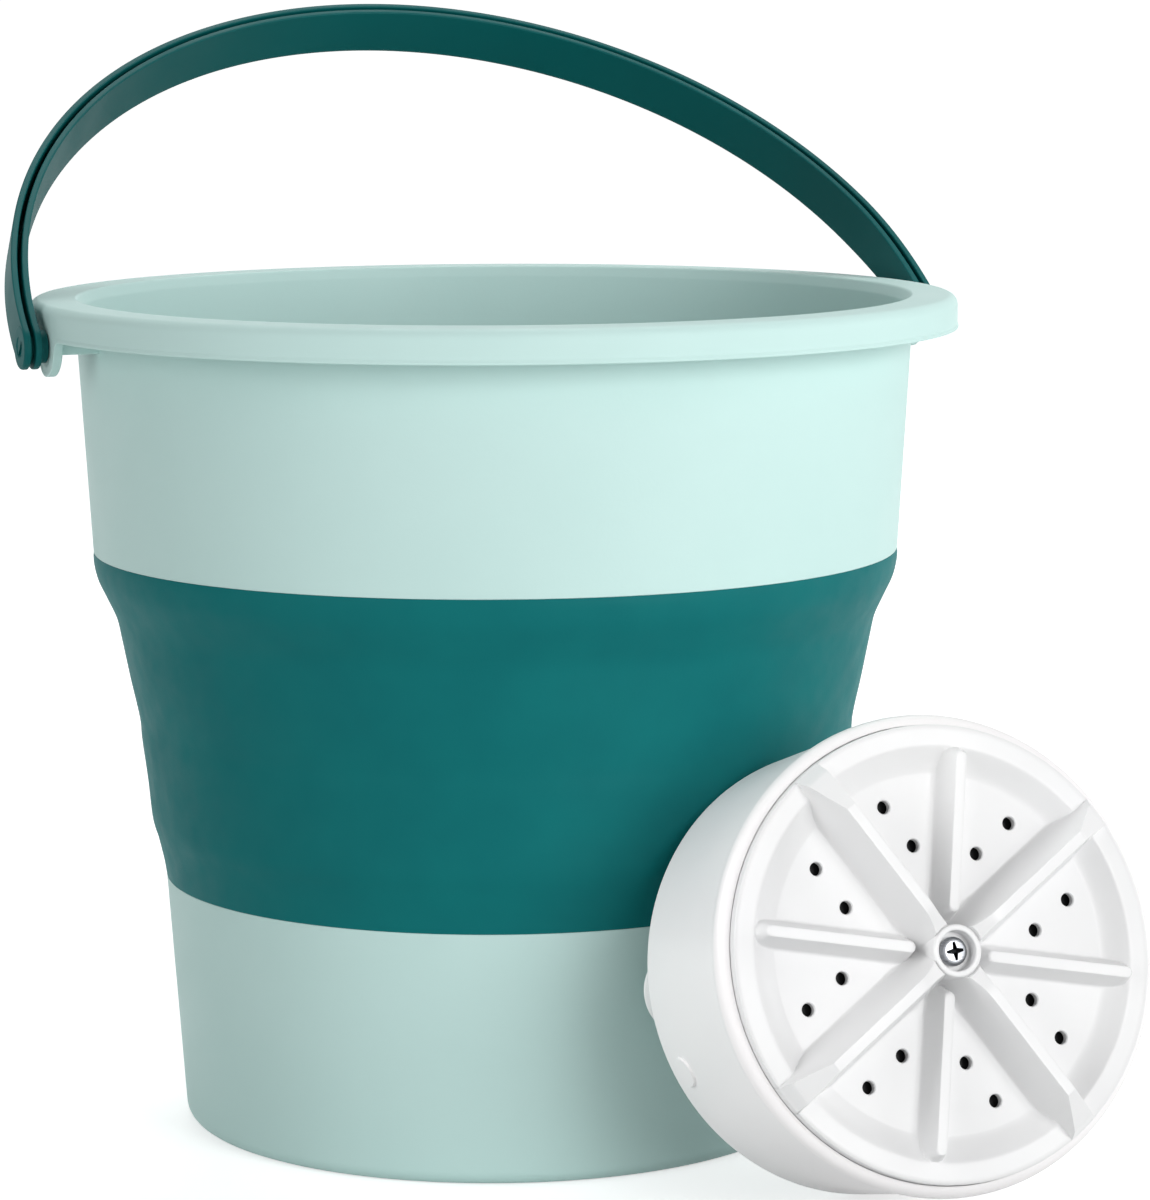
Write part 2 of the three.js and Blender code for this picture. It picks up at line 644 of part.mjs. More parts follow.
// Rises from the boss, runs level, then falls and widens to the disc's edge
function tallRib() {
  const rootLevel = DISH_LEVEL - RIB_BURY;
  const crestLevel = DISH_LEVEL + TALL_RIB_RISE;
  const start = RECESS_RADIUS + CUT;
  const end = IMPELLER_RADIUS - IMPELLER_EDGE_CHAMFER;
  const levelStart = start + TALL_RIB_HUB_LENGTH;
  const flatStart = end - TALL_RIB_FLAT_LENGTH;
  const even = (from, to, width) => ({ start: from, end: to, startWidth: width, endWidth: width });
  const rise = wedge(
    even(start, levelStart, TALL_RIB_ROOT), rootLevel,
    even(start, levelStart, RIB_CREST), BOSS_TOP, crestLevel,
  );
  const main = wedge(
    even(levelStart, flatStart, TALL_RIB_ROOT), rootLevel,
    even(levelStart, flatStart, RIB_CREST), crestLevel, crestLevel,
  );
  const flare = wedge(
    { start: flatStart, end, startWidth: TALL_RIB_ROOT, endWidth: TALL_RIB_FLAT }, rootLevel,
    { start: flatStart, end, startWidth: RIB_CREST, endWidth: TALL_RIB_FLAT },
    crestLevel, DISH_LEVEL + TALL_RIB_END_RISE,
  );
  return [rise, main, flare];
}

function lowRib() {
  const rootLevel = DISH_LEVEL - RIB_BURY;
  const crestLevel = DISH_LEVEL + LOW_RIB_RISE;
  const end = RING_INNER;
  return wedge(
    {
      start: LOW_RIB_START - LOW_RIB_TAPER,
      end,
      startWidth: LOW_RIB_ROOT,
      endWidth: LOW_RIB_ROOT,
    }, rootLevel,
    {
      start: LOW_RIB_START,
      end: end - LOW_RIB_TAPER,
      startWidth: RIB_CREST,
      endWidth: RIB_CREST,
    }, crestLevel, crestLevel,
  );
}

function impellerDisc() {
  const skirtInner = IMPELLER_RADIUS - IMPELLER_SKIRT_WALL;
  return turned([
    [0, IMPELLER_UNDERSIDE],
    [skirtInner, IMPELLER_UNDERSIDE],
    [skirtInner, IMPELLER_LOWEST],
    [IMPELLER_RADIUS, IMPELLER_LOWEST],
    [IMPELLER_RADIUS, RING_LEVEL - IMPELLER_EDGE_CHAMFER],
    [IMPELLER_RADIUS - IMPELLER_EDGE_CHAMFER, RING_LEVEL],
    [RING_INNER, RING_LEVEL],
    [RING_INNER - DISH_SLOPE, DISH_LEVEL],
    [0, DISH_LEVEL],
  ], CASING_SIDES);
}

function impellerBoss() {
  return turned([
    [0, DISH_LEVEL - RIB_BURY],
    [BOSS_RADIUS, DISH_LEVEL - RIB_BURY],
    [BOSS_RADIUS, BOSS_TOP - BOSS_CHAMFER],
    [BOSS_RADIUS - BOSS_CHAMFER, BOSS_TOP],
    [0, BOSS_TOP],
  ], MEDIUM_SIDES);
}

// A round bar with one flat side
function flattedBar(radius, flat, bottom, top) {
  const keep = block([-radius - CUT, -radius - CUT, bottom - CUT], [flat, radius + CUT, top + CUT]);
  return bar(radius, bottom, top, MEDIUM_SIDES).intersect(keep);
}

const FLAT_PLACE = SHAFT_RADIUS - SHAFT_FLAT;

function impeller() {
  const tall = FOUR_WAYS.map((angle) => angle + 45);
  const hole = bar(HOLE_RADIUS, IMPELLER_UNDERSIDE - CUT, RING_LEVEL);
  const outerHole = hole.translate([OUTER_HOLE_CIRCLE, 0, 0]);
  const innerHole = hole.translate([INNER_HOLE_CIRCLE, 0, 0]);
  const bothSides = (step) => FOUR_WAYS.flatMap((angle) => [angle + step, angle - step]);
  const whole = carve(
    [
      impellerDisc(),
      impellerBoss(),
      ...tallRib().flatMap((piece) => around(piece, tall)),
      ...around(lowRib(), FOUR_WAYS),
    ],
    [
      ...around(outerHole, bothSides(OUTER_HOLE_ANGLE)),
      ...around(innerHole, bothSides(INNER_HOLE_ANGLE)),
      bar(RECESS_RADIUS, RECESS_FLOOR, BOSS_TOP + CUT, MEDIUM_SIDES),
      bar(BIG_SCREW_RADIUS + SEAT_GAP, IMPELLER_UNDERSIDE, BOSS_TOP, SMALL_SIDES),
      flattedBar(SHAFT_RADIUS + TURN_GAP, FLAT_PLACE + TURN_GAP, IMPELLER_UNDERSIDE - CUT, SOCKET_TOP),
    ],
  );
  return whole.rotate([0, 0, IMPELLER_TURN]);
}

function impellerScrew() {
  const headBottom = RECESS_FLOOR + SEAT_GAP;
  const headTop = headBottom + BIG_HEAD_HEIGHT;
  const rimLevel = headTop - BIG_HEAD_HEIGHT / 2;
  const body = turned([
    [0, headBottom - BIG_SCREW_LENGTH],
    [BIG_SCREW_RADIUS, headBottom - BIG_SCREW_LENGTH],
    [BIG_SCREW_RADIUS, headBottom],
    [BIG_HEAD_RADIUS, headBottom],
    [BIG_HEAD_RADIUS, rimLevel],
    [BIG_HEAD_RADIUS * BIG_HEAD_TOP_SHARE, headTop],
    [0, headTop],
  ], MEDIUM_SIDES);
  const slot = block(
    [-CROSS_LENGTH / 2, -CROSS_WIDTH / 2, headTop - CROSS_DEPTH],
    [CROSS_LENGTH / 2, CROSS_WIDTH / 2, headTop + CUT],
  );
  return carve([body], around(slot, [0, 90])).rotate([0, 0, IMPELLER_TURN]);
}

// Shaft, bushes and seal

function outputShaft() {
  const body = bar(SHAFT_RADIUS, SHAFT_BOTTOM, IMPELLER_UNDERSIDE, MEDIUM_SIDES);
  const tip = flattedBar(SHAFT_RADIUS, FLAT_PLACE, IMPELLER_UNDERSIDE - CUT, SHAFT_TOP);
  const hole = bar(BIG_SCREW_RADIUS + SEAT_GAP, SHAFT_TOP - SHAFT_HOLE_DEPTH, SHAFT_TOP + CUT);
  return carve([body, tip], [hole]).rotate([0, 0, IMPELLER_TURN]);
}

function ringBar(inner, outer, bottom, top) {
  return turned([[inner, bottom], [outer, bottom], [outer, top], [inner, top]], MEDIUM_SIDES);
}

const frontBush = () => ringBar(SHAFT_RADIUS + TURN_GAP, BUSH_RADIUS, FRONT_BUSH_BOTTOM, FRONT_BUSH_TOP);
const rearBush = () => ringBar(SHAFT_RADIUS + TURN_GAP, BUSH_RADIUS, REAR_BUSH_BOTTOM, REAR_BUSH_TOP);
const shaftSeal = () => ringBar(
  SHAFT_RADIUS + TURN_GAP, SEAL_RADIUS, SEAL_SEAT + SEAT_GAP, SEAL_SEAT + SEAT_GAP + SEAL_LENGTH,
);

// Gears

// Outline of an involute gear with its first tooth centred on +X; the large gear's
// flanks are nearly straight, so theirs are
function gearOutline(teeth) {
  const pressure = radians(PRESSURE_ANGLE);
  const pitch = GEAR_MODULE * teeth / 2;
  const base = pitch * Math.cos(pressure);
  const tip = pitch + GEAR_MODULE - BACKLASH / 2;
  const root = pitch - GEAR_MODULE - BACKLASH;
  const halfTooth = Math.PI / (2 * teeth) - BACKLASH / (4 * pitch);
  const involute = (radius) => {
    const angle = Math.acos(Math.min(base / radius, 1));
    return Math.tan(angle) - angle;
  };
  const halfAngle = (radius) => halfTooth + involute(pitch) - involute(Math.max(radius, base));
  const flank = teeth === GEAR_TEETH ? [root, tip] : [root, Math.max(base, root), pitch, tip];
  const outline = [];
  for (let tooth = 0; tooth < teeth; tooth += 1) {
    const middle = 2 * Math.PI * tooth / teeth;
    const side = (radius, sign) => {
      const angle = middle + sign * halfAngle(radius);
      return [radius * Math.cos(angle), radius * Math.sin(angle)];
    };
    outline.push(...flank.map((radius) => side(radius, -1)));
    outline.push(...flank.toReversed().map((radius) => side(radius, 1)));
  }
  return outline.filter(([x, y], i) => {
    const [lastX, lastY] = outline[(i + outline.length - 1) % outline.length];
    return Math.hypot(x - lastX, y - lastY) > WELD;
  });
}

// The gear has a tooth towards the motor, and the pinion a gap towards the gear
function outputGear() {
  const hub = SHAFT_RADIUS + TURN_GAP + GEAR_HUB_WALL;
  return carve(
    [
      raised(gearOutline(GEAR_TEETH), GEAR_BOTTOM, GEAR_TOP).rotate([0, 0, MOTOR_ANGLE]),
      bar(hub, GEAR_BOTTOM - GEAR_HUB_SIDE, GEAR_TOP + GEAR_HUB_SIDE, MEDIUM_SIDES),
    ],
    [bar(SHAFT_RADIUS + TURN_GAP, GEAR_BOTTOM - PLATE_GEAR_GAP, GEAR_TOP + PLATE_GEAR_GAP, MEDIUM_SIDES)],
  );
}

function motorPinion() {
  const halfPitch = 180 / PINION_TEETH;
  const toGear = MOTOR_ANGLE + 180 + halfPitch;
  const teeth = raised(gearOutline(PINION_TEETH), GEAR_BOTTOM - SEAT_GAP, GEAR_TOP + SEAT_GAP);
  const bore = bar(MOTOR_SHAFT_RADIUS + TURN_GAP, GEAR_BOTTOM - CUT, GEAR_TOP + CUT);
  return movedTo(carve([teeth], [bore]).rotate([0, 0, toGear]), MOTOR_OFFSET, MOTOR_ANGLE);
}

// Motor and plate

function motorScrewPlaces() {
  return [-1, 1].map((side) => {
    const [x, y] = onCircle(MOTOR_OFFSET, MOTOR_ANGLE);
    const [dx, dy] = onCircle(MOTOR_SCREW_CIRCLE, MOTOR_ANGLE + 90);
    return [x + side * dx, y + side * dy];
  });
}

const MOTOR_BORE_FLOOR = MOTOR_BOTTOM + CASING_WALL;

function motor() {
  const reach = SMALL_SCREW_LENGTH + CUT;
  const body = bar(MOTOR_RADIUS, MOTOR_BOTTOM, MOTOR_TOP, MEDIUM_SIDES);
  const bore = bar(MOTOR_SHAFT_RADIUS + TURN_GAP, MOTOR_BORE_FLOOR, MOTOR_TOP + CUT);
  const screwHole = bar(SCREW_HOLE, MOTOR_TOP - reach, MOTOR_TOP + CUT);
  return carve([movedTo(body, MOTOR_OFFSET, MOTOR_ANGLE)], [
    movedTo(bore, MOTOR_OFFSET, MOTOR_ANGLE),
    ...motorScrewPlaces().map(([x, y]) => screwHole.translate([x, y, 0])),
  ]);
}

function motorShaft() {
  const shaft = bar(MOTOR_SHAFT_RADIUS, MOTOR_BORE_FLOOR + SEAT_GAP, GEAR_TOP + 2 * SEAT_GAP);
  return movedTo(shaft, MOTOR_OFFSET, MOTOR_ANGLE);
}

function gearPlate() {
  const through = (radius, sides) => bar(radius, PLATE_BOTTOM - CUT, PLATE_TOP + CUT, sides);
  return carve([bar(PLATE_RADIUS, PLATE_BOTTOM, PLATE_TOP, CASING_SIDES)], [
    through(SHAFT_RADIUS + TURN_GAP + GEAR_HUB_WALL, MEDIUM_SIDES),
    movedTo(through(2 * MOTOR_SHAFT_RADIUS), MOTOR_OFFSET, MOTOR_ANGLE),
    ...motorScrewPlaces().map(([x, y]) => through(SCREW_HOLE).translate([x, y, 0])),
    ...cupAngles.map((angle) => movedTo(through(SCREW_HOLE), PLATE_POST_CIRCLE, angle)),
  ]);
}

// A small screw with its head's underside at a level, pointing up or down
function smallScrew(headLevel, pointing) {
  const tip = headLevel + pointing * SMALL_SCREW_LENGTH;
  const headEnd = headLevel - pointing * SMALL_HEAD_HEIGHT;
  const buried = headLevel - pointing * SMALL_HEAD_HEIGHT / 2;
  return carve([
    bar(SMALL_SCREW_RADIUS, Math.min(buried, tip), Math.max(buried, tip)),
    bar(SMALL_HEAD_RADIUS, Math.min(headLevel, headEnd), Math.max(headLevel, headEnd)),
  ]);
}

// Rear cover, gasket and suction cups

function boardPinPlaces() {
  const [x, y] = onCircle(BOARD_CIRCLE, rearScrewAngles[0]);
  const along = BOARD_LENGTH / 2 - 2 * BOARD_PIN_RADIUS;
  return [-1, 1].map((side) => {
    const [dx, dy] = onCircle(along, rearScrewAngles[0] + 90);
    return [x + side * dx, y + side * dy];
  });
}

const BOARD_BOTTOM = COVER_FRONT + BOARD_RISE;

function rearCover() {
  const bushSeat = BUSH_RADIUS + SEAT_GAP;
  const disc = bar(COVER_OUTER, COVER_RECESS, COVER_FRONT, CASING_SIDES);
  const bushTube = turned([
    [0, COVER_FRONT - CUT],
    [bushSeat + CASING_WALL, COVER_FRONT - CUT],
    [bushSeat + CASING_WALL, REAR_BUSH_TOP],
    [bushSeat, REAR_BUSH_TOP],
    [bushSeat, REAR_SEAT],
    [0, REAR_SEAT],
  ], MEDIUM_SIDES);
  const pins = boardPinPlaces().flatMap(([x, y]) => [
    bar(BOARD_PIN_RADIUS, COVER_FRONT - CUT, BOARD_BOTTOM - SEAT_GAP).translate([x, y, 0]),
    bar(BOARD_PIN_TIP, COVER_FRONT - CUT, BOARD_BOTTOM + 2 * BOARD_THICKNESS).translate([x, y, 0]),
  ]);
  const screwHole = bar(SCREW_HOLE, COVER_RECESS - CUT, COVER_FRONT + CUT);
  const cupHole = bar(CUP_NECK_RADIUS + SEAT_GAP, COVER_RECESS - CUT, COVER_FRONT + CUT);
  return carve([disc, bushTube, ...pins], [
    ...rearScrewAngles.map((angle) => movedTo(screwHole, REAR_POST_CIRCLE, angle)),
    ...cupAngles.map((angle) => movedTo(cupHole, CUP_CIRCLE, angle)),
  ]);
}

function rearGasket() {
  const outer = CASING_REAR_RADIUS - CASING_WALL - SEAT_GAP;
  const bottom = COVER_FRONT + SEAT_GAP / 2;
  return turned([
    [outer - GASKET_WIDTH, bottom],
    [outer, bottom],
    [outer, bottom + GASKET_HEIGHT],
    [outer - GASKET_WIDTH, bottom + GASKET_HEIGHT],
  ], CASING_SIDES);
}

function suctionCup() {
  const collarFront = COVER_RECESS - SEAT_GAP;
  const collarRear = collarFront - CUP_COLLAR_HEIGHT;
  const barbLevel = COVER_FRONT + SEAT_GAP;
  return turned([
    [0, barbLevel + 2 * CUP_BARB],
    [CUP_NECK_RADIUS - CUP_BARB / 2, barbLevel + 2 * CUP_BARB],
    [CUP_NECK_RADIUS + CUP_BARB, barbLevel],
    [CUP_NECK_RADIUS, barbLevel],
    [CUP_NECK_RADIUS, collarFront],
    [CUP_COLLAR_RADIUS, collarFront],
    [CUP_COLLAR_RADIUS, collarRear],
    [CUP_RADIUS, CUP_WALL / 2 - CUP_HEIGHT],
    [CUP_RADIUS, -CUP_HEIGHT],
    [CUP_RADIUS - CUP_WALL, -CUP_HEIGHT],
    [CUP_COLLAR_RADIUS, collarRear - CUP_WALL - CUT],
    [0, collarRear - CUP_WALL],
  ], MEDIUM_SIDES);
}

// Control board and inlet

function controlBoard() {
  const top = BOARD_BOTTOM + BOARD_THICKNESS;
  const angle = rearScrewAngles[0];
  const board = block(
    [BOARD_CIRCLE - BOARD_WIDTH / 2, -BOARD_LENGTH / 2, BOARD_BOTTOM],
    [BOARD_CIRCLE + BOARD_WIDTH / 2, BOARD_LENGTH / 2, top],
  );
  const part = block(
    [BOARD_CIRCLE - BOARD_WIDTH / 4, -BOARD_LENGTH / 6, top - BOARD_THICKNESS / 2],
    [BOARD_CIRCLE + BOARD_WIDTH / 4, BOARD_LENGTH / 6, top + BLOCK_HEIGHT],
  );
  const holes = boardPinPlaces().map(([x, y]) => bar(
    BOARD_PIN_TIP + SEAT_GAP, BOARD_BOTTOM - CUT, top + CUT,
  ).translate([x, y, 0]));
  return carve([board, part].map((piece) => piece.rotate([0, 0, angle])), holes);
}

function powerInlet() {
  const face = INLET_FACE - SEAT_GAP;
  const floor = face - INLET_LENGTH;
  return atInlet(turned([
    [0, floor],
    [INLET_RADIUS, floor],
    [INLET_RADIUS, face],
    [INLET_BORE, face],
    [INLET_BORE, floor + CUT],
    [0, floor + CUT],
  ], MEDIUM_SIDES));
}

function inletPlug() {
  const face = INLET_FACE + SEAT_GAP / 2;
  return atInlet(turned([
    [0, face - PLUG_LENGTH],
    [INLET_BORE - SEAT_GAP, face - PLUG_LENGTH],
    [INLET_BORE - SEAT_GAP, face],
    [PLUG_FLANGE_RADIUS, face],
    [PLUG_FLANGE_RADIUS, face + PLUG_FLANGE_HEIGHT / 2],
    [PLUG_FLANGE_RADIUS - PLUG_FLANGE_HEIGHT / 2, face + PLUG_FLANGE_HEIGHT],
    [0, face + PLUG_FLANGE_HEIGHT],
  ], MEDIUM_SIDES));
}

// Where the unit stands: on the floor on its rear edge, leaning back on the bucket

// Radius of the bucket's outside at a level, below the rim
function bucketRadius(level) {
  const line = [[BASE_RADIUS, 0], ...bandLine(), [WALL_TOP_RADIUS, SKIRT_BOTTOM]];
  for (let i = 1; i < line.length; i += 1) {
    const [innerRadius, low] = line[i - 1];
    const [outerRadius, high] = line[i];
    if (level <= high && high > low) {
      return innerRadius + (outerRadius - innerRadius) * (level - low) / (high - low);
    }
  }
  return RIM_RADIUS;
}

const yaw = radians(UNIT_YAW);
const lean = radians(UNIT_LEAN);
const unitAcross = new THREE.Vector3(Math.cos(yaw), Math.sin(yaw), 0);
const unitOutward = new THREE.Vector3(Math.sin(yaw), -Math.cos(yaw), 0);
const unitForward = unitOutward.clone().multiplyScalar(Math.cos(lean)).setZ(Math.sin(lean));
const unitUp = unitForward.clone().cross(unitAcross);

// The casing's rear edge and the cups' lips, as circles [radius, level, centre radius, centre angle]
function unitContactPoints() {
  const circles = [
    ...casingRearRound().map(([radius, level]) => [radius, level, 0, 0]),
    ...cupAngles.map((angle) => [CUP_RADIUS, -CUP_HEIGHT, CUP_CIRCLE, angle]),
  ];
  const turns = Array.from({ length: CASING_SIDES }, (_, i) => 360 * i / CASING_SIDES);
  return circles.flatMap(([radius, level, centreRadius, centreAngle]) => turns.map((turn) => {
    const [centreX, centreY] = onCircle(centreRadius, centreAngle);
    const [x, y] = onCircle(radius, turn);
    return new THREE.Vector3()
      .addScaledVector(unitAcross, centreX + x)
      .addScaledVector(unitUp, centreY + y)
      .addScaledVector(unitForward, level);
  }));
}

function unitPlace() {
  const points = unitContactPoints();
  const height = -Math.min(...points.map((point) => point.z));
  const clear = (distance) => points.every((point) => {
    const x = point.x + unitAcross.x * UNIT_SIDE_OFFSET + unitOutward.x * distance;
    const y = point.y + unitAcross.y * UNIT_SIDE_OFFSET + unitOutward.y * distance;
    return Math.hypot(x, y) >= bucketRadius(point.z + height) + UNIT_LEAN_GAP;
  });
  let near = 0;
  let far = 2 * (RIM_RADIUS + CASING_FRONT_RADIUS);
  while (far - near > WELD) {
    const middle = (near + far) / 2;
    if (clear(middle)) far = middle;
    else near = middle;
  }
  return new THREE.Vector3()
    .addScaledVector(unitAcross, UNIT_SIDE_OFFSET)
    .addScaledVector(unitOutward, far)
    .setZ(height);
}

// Materials

function paint(color, roughness, metalness = 0) {
  return new THREE.MeshStandardMaterial({ color, roughness, metalness });
}

const mint = paint(0xc3dad6, 0.45);
const teal = paint(0x2a7474, 0.5);
const darkTeal = paint(0x005c5c, 0.38);
const white = paint(0xf2f3f3, 0.4);
const greyRubber = paint(0xd9dcdc, 0.7);
const blackRubber = paint(0x26282a, 0.8);
const steel = paint(0xb9bcc0, 0.3, 1);
const brass = paint(0xc09a55, 0.35, 1);
const acetal = paint(0xe6e2d6, 0.5);
const boardGreen = paint(0x2d6a45, 0.6);

function piece(name, solid, material) {
  const mesh = new THREE.Mesh(geometryOf(solid), material);
  mesh.name = name;
  return mesh;
}

// Assembly

const bucket = new THREE.Group();
bucket.add(
  piece('lower_cup', lowerCup(), mint),
  piece('folding_band', foldingBand(), teal),
  piece('upper_shell', upperShell(), mint),
);

const handleFrame = new THREE.Group();
const pivotLine = new THREE.Vector3(Math.cos(radians(HANDLE_YAW)), Math.sin(radians(HANDLE_YAW)), 0);
const handleBack = new THREE.Vector3(-pivotLine.y, pivotLine.x, 0);
const handleTilt = radians(HANDLE_LEAN);
const handleUp = handleBack.multiplyScalar(Math.sin(handleTilt)).setZ(Math.cos(handleTilt));
const handleAxes = new THREE.Matrix4().makeBasis(pivotLine, handleUp, pivotLine.clone().cross(handleUp));
handleFrame.quaternion.setFromRotationMatrix(handleAxes);
handleFrame.position.set(0, 0, PIVOT_Z);
handleFrame.add(piece('handle', handle(), darkTeal));

const unit = new THREE.Group();
unit.quaternion.setFromRotationMatrix(new THREE.Matrix4().makeBasis(unitAcross, unitUp, unitForward));
unit.position.copy(unitPlace());
unit.add(
  piece('casing', casing(), white),
  piece('impeller', impeller(), white),
  piece('impeller_screw', impellerScrew(), steel),
  piece('output_shaft', outputShaft(), steel),
  piece('shaft_seal', shaftSeal(), blackRubber),
  piece('front_bush', frontBush(), brass),
  piece('rear_bush', rearBush(), brass),
  piece('output_gear', outputGear(), acetal),
  piece('motor_pinion', motorPinion(), brass),
  piece('motor_shaft', motorShaft(), steel),
  piece('motor', motor(), steel),
  piece('gear_plate', gearPlate(), steel),
  piece('rear_cover', rearCover(), white),
  piece('rear_gasket', rearGasket(), blackRubber),
  piece('control_board', controlBoard(), boardGreen),
  piece('power_inlet', powerInlet(), blackRubber),
  piece('inlet_plug', inletPlug(), greyRubber),
);

cupAngles.forEach((angle, i) => {
  const plateScrew = smallScrew(PLATE_BOTTOM - SEAT_GAP, 1);
  unit.add(piece(`suction_cup_${i + 1}`, movedTo(suctionCup(), CUP_CIRCLE, angle), greyRubber));
  unit.add(piece(`plate_screw_${i + 1}`, movedTo(plateScrew, PLATE_POST_CIRCLE, angle), steel));
});
rearScrewAngles.forEach((angle, i) => {
  const rearScrew = smallScrew(COVER_RECESS - SEAT_GAP, 1);
  unit.add(piece(`rear_screw_${i + 1}`, movedTo(rearScrew, REAR_POST_CIRCLE, angle), steel));
});
motorScrewPlaces().forEach(([x, y], i) => {
  const motorScrew = smallScrew(PLATE_TOP + SEAT_GAP, -1);
  unit.add(piece(`motor_screw_${i + 1}`, motorScrew.translate([x, y, 0]), steel));
});

const machine = new THREE.Group();
machine.add(bucket, handleFrame, unit);

export default machine;
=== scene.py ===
"""A folding mini washing machine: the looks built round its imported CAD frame.
Sizes are in millimetres and are put into the frame's metres by each piece's place matrix."""

import json
import math

import bmesh
import bpy
from mathutils import Matrix, Vector

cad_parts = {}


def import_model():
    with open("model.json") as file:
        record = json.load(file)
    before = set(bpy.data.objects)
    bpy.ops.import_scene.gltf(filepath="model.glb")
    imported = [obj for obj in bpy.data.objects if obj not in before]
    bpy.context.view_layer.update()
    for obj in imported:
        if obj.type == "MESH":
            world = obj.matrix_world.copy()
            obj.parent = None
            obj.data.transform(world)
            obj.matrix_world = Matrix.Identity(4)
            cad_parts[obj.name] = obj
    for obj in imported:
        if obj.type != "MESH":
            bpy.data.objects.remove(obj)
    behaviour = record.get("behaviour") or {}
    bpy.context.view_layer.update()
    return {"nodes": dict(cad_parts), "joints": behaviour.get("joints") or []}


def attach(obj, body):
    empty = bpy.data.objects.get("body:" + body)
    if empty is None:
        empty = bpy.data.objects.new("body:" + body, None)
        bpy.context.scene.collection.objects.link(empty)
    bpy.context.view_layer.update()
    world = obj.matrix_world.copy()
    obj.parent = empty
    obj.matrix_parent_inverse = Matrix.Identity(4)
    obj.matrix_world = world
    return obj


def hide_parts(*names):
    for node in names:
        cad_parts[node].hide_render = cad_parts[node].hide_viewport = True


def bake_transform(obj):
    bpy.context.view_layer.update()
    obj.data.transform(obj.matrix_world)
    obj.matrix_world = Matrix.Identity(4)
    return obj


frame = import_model()

MM = 0.001

# Bucket
BUCKET_HEIGHT = 260
RIM_RADIUS = 144.3
RIM_SKIRT = 10.2
WALL = 2.2
WALL_TOP_RADIUS = 130.8
UPPER_SEAM_RADIUS = 126
LOWER_SEAM_RADIUS = 104.8
BAND_BOTTOM = 78
BAND_HEIGHT = 102.7
BAND_WALL = 2.8
BASE_RADIUS = 99.2
FLOOR_THICKNESS = 2.6
BAND_TOP = BAND_BOTTOM + BAND_HEIGHT
SKIRT_BOTTOM = BUCKET_HEIGHT - RIM_SKIRT
MOUTH_RADIUS = WALL_TOP_RADIUS - WALL

# Lugs and handle
LUG_YAW = 21.4
LUG_LOBE = 9.2
LUG_FILLET = 4
LUG_THICKNESS = 2.6
PIVOT_Z = 248
GUSSET_THICKNESS = 2
GUSSET_DROP = 4
GUSSET_OFFSET = 6.3
HANDLE_LEAN = 53.4
HANDLE_GAP = 2.6
HANDLE_THICKNESS = 5.4
HANDLE_WIDTH = 16.4
HANDLE_EXTRA_REACH = 6.2
HANDLE_FLANGE = 2
HANDLE_WEB = 2
HANDLE_END_RADIUS = 6.8
PEG_RADIUS = 3.2
PEG_COLLAR_RADIUS = 5
PEG_HEAD_LIP = 0.8
PEG_HEAD_LENGTH = 1.5

# Washing unit, levels from the casing's rear edge forwards
CASING_DEPTH = 57.4
CASING_REAR_RADIUS = 66.3
CASING_FRONT_RADIUS = 68
CASING_WALL = 2.4
REAR_ROUND = 2.25
BEAD_ROUND = 3.9
BEAD_PROUD = 1.6
WELL_RADIUS = 66.2
IMPELLER_RADIUS = 66
RING_LEVEL = 64.3
DISH_LEVEL = 60.4
IMPELLER_UNDERSIDE = 58.2
IMPELLER_LOWEST = 57.6
DECK_TOP = 55.5
DECK_BOTTOM = 53.1
RING_INNER = 59.7
DISH_CURVE = 8
BOSS_RADIUS = 7.7
BOSS_TOP = 72
RECESS_RADIUS = 5.85
RECESS_FLOOR = 68
RIB_CREST = 3.3
RIB_BURY = 1.1
TALL_RIB_ROOT = 12.4
TALL_RIB_RISE = 14.4
TALL_RIB_HUB_LENGTH = 8
TALL_RIB_END_RISE = 6.6
TALL_RIB_FLAT = 8.6
TALL_RIB_FLAT_LENGTH = 12.7
LOW_RIB_ROOT = 8.4
LOW_RIB_RISE = 8.1
LOW_RIB_START = 11.5
LOW_RIB_TAPER = 1.4
HOLE_RADIUS = 1.95
OUTER_HOLE = (44.96, 26.56)
INNER_HOLE = (31.88, 18.52)
IMPELLER_TURN = -10.97
CUP_CIRCLE = 50
CUP_FIRST_ANGLE = 61
THREE_WAYS = (0, 120, 240)
FOUR_WAYS = (0, 90, 180, 270)

# How finely round things are made
LARGE_SIDES = 192
CASING_SIDES = 160
MEDIUM_SIDES = 64
SMALL_SIDES = 32
HOLE_SIDES = 28
ON_AXIS = 1e-6
MERGE_DISTANCE = 0.002
SHARP_ANGLE = 32


# Places: matrices from a local frame in millimetres to the row frame in metres

def place_of(across, up, forward, origin):
    place = Matrix.Identity(4)
    for row in range(3):
        place[row][0] = across[row] * MM
        place[row][1] = up[row] * MM
        place[row][2] = forward[row] * MM
        place[row][3] = origin[row]
    return place


def on_circle(radius, angle, level=0):
    turn = math.radians(angle)
    return Vector((radius * math.cos(turn), radius * math.sin(turn), level))


ROW = Matrix.Scale(MM, 4)
joints = {joint["name"]: joint for joint in frame["joints"]}
unit_forward = Vector(joints["impeller_spin"]["axis"]).normalized()
unit_origin = Vector(joints["impeller_spin"]["pos_m"])
unit_across = Vector((-unit_forward.y, unit_forward.x, 0)).normalized()
unit_up = unit_forward.cross(unit_across)
UNIT = place_of(unit_across, unit_up, unit_forward, unit_origin)
IMPELLER = UNIT @ Matrix.Rotation(math.radians(IMPELLER_TURN), 4, "Z")

pivot_line = Vector(joints["handle_swing"]["axis"]).normalized()
handle_back = Vector((-pivot_line.y, pivot_line.x, 0))
tilt = math.radians(HANDLE_LEAN)
handle_up = handle_back * math.sin(tilt) + Vector((0, 0, math.cos(tilt)))
HANDLE = place_of(pivot_line, handle_up, pivot_line.cross(handle_up), joints["handle_swing"]["pos_m"])


# Outlines

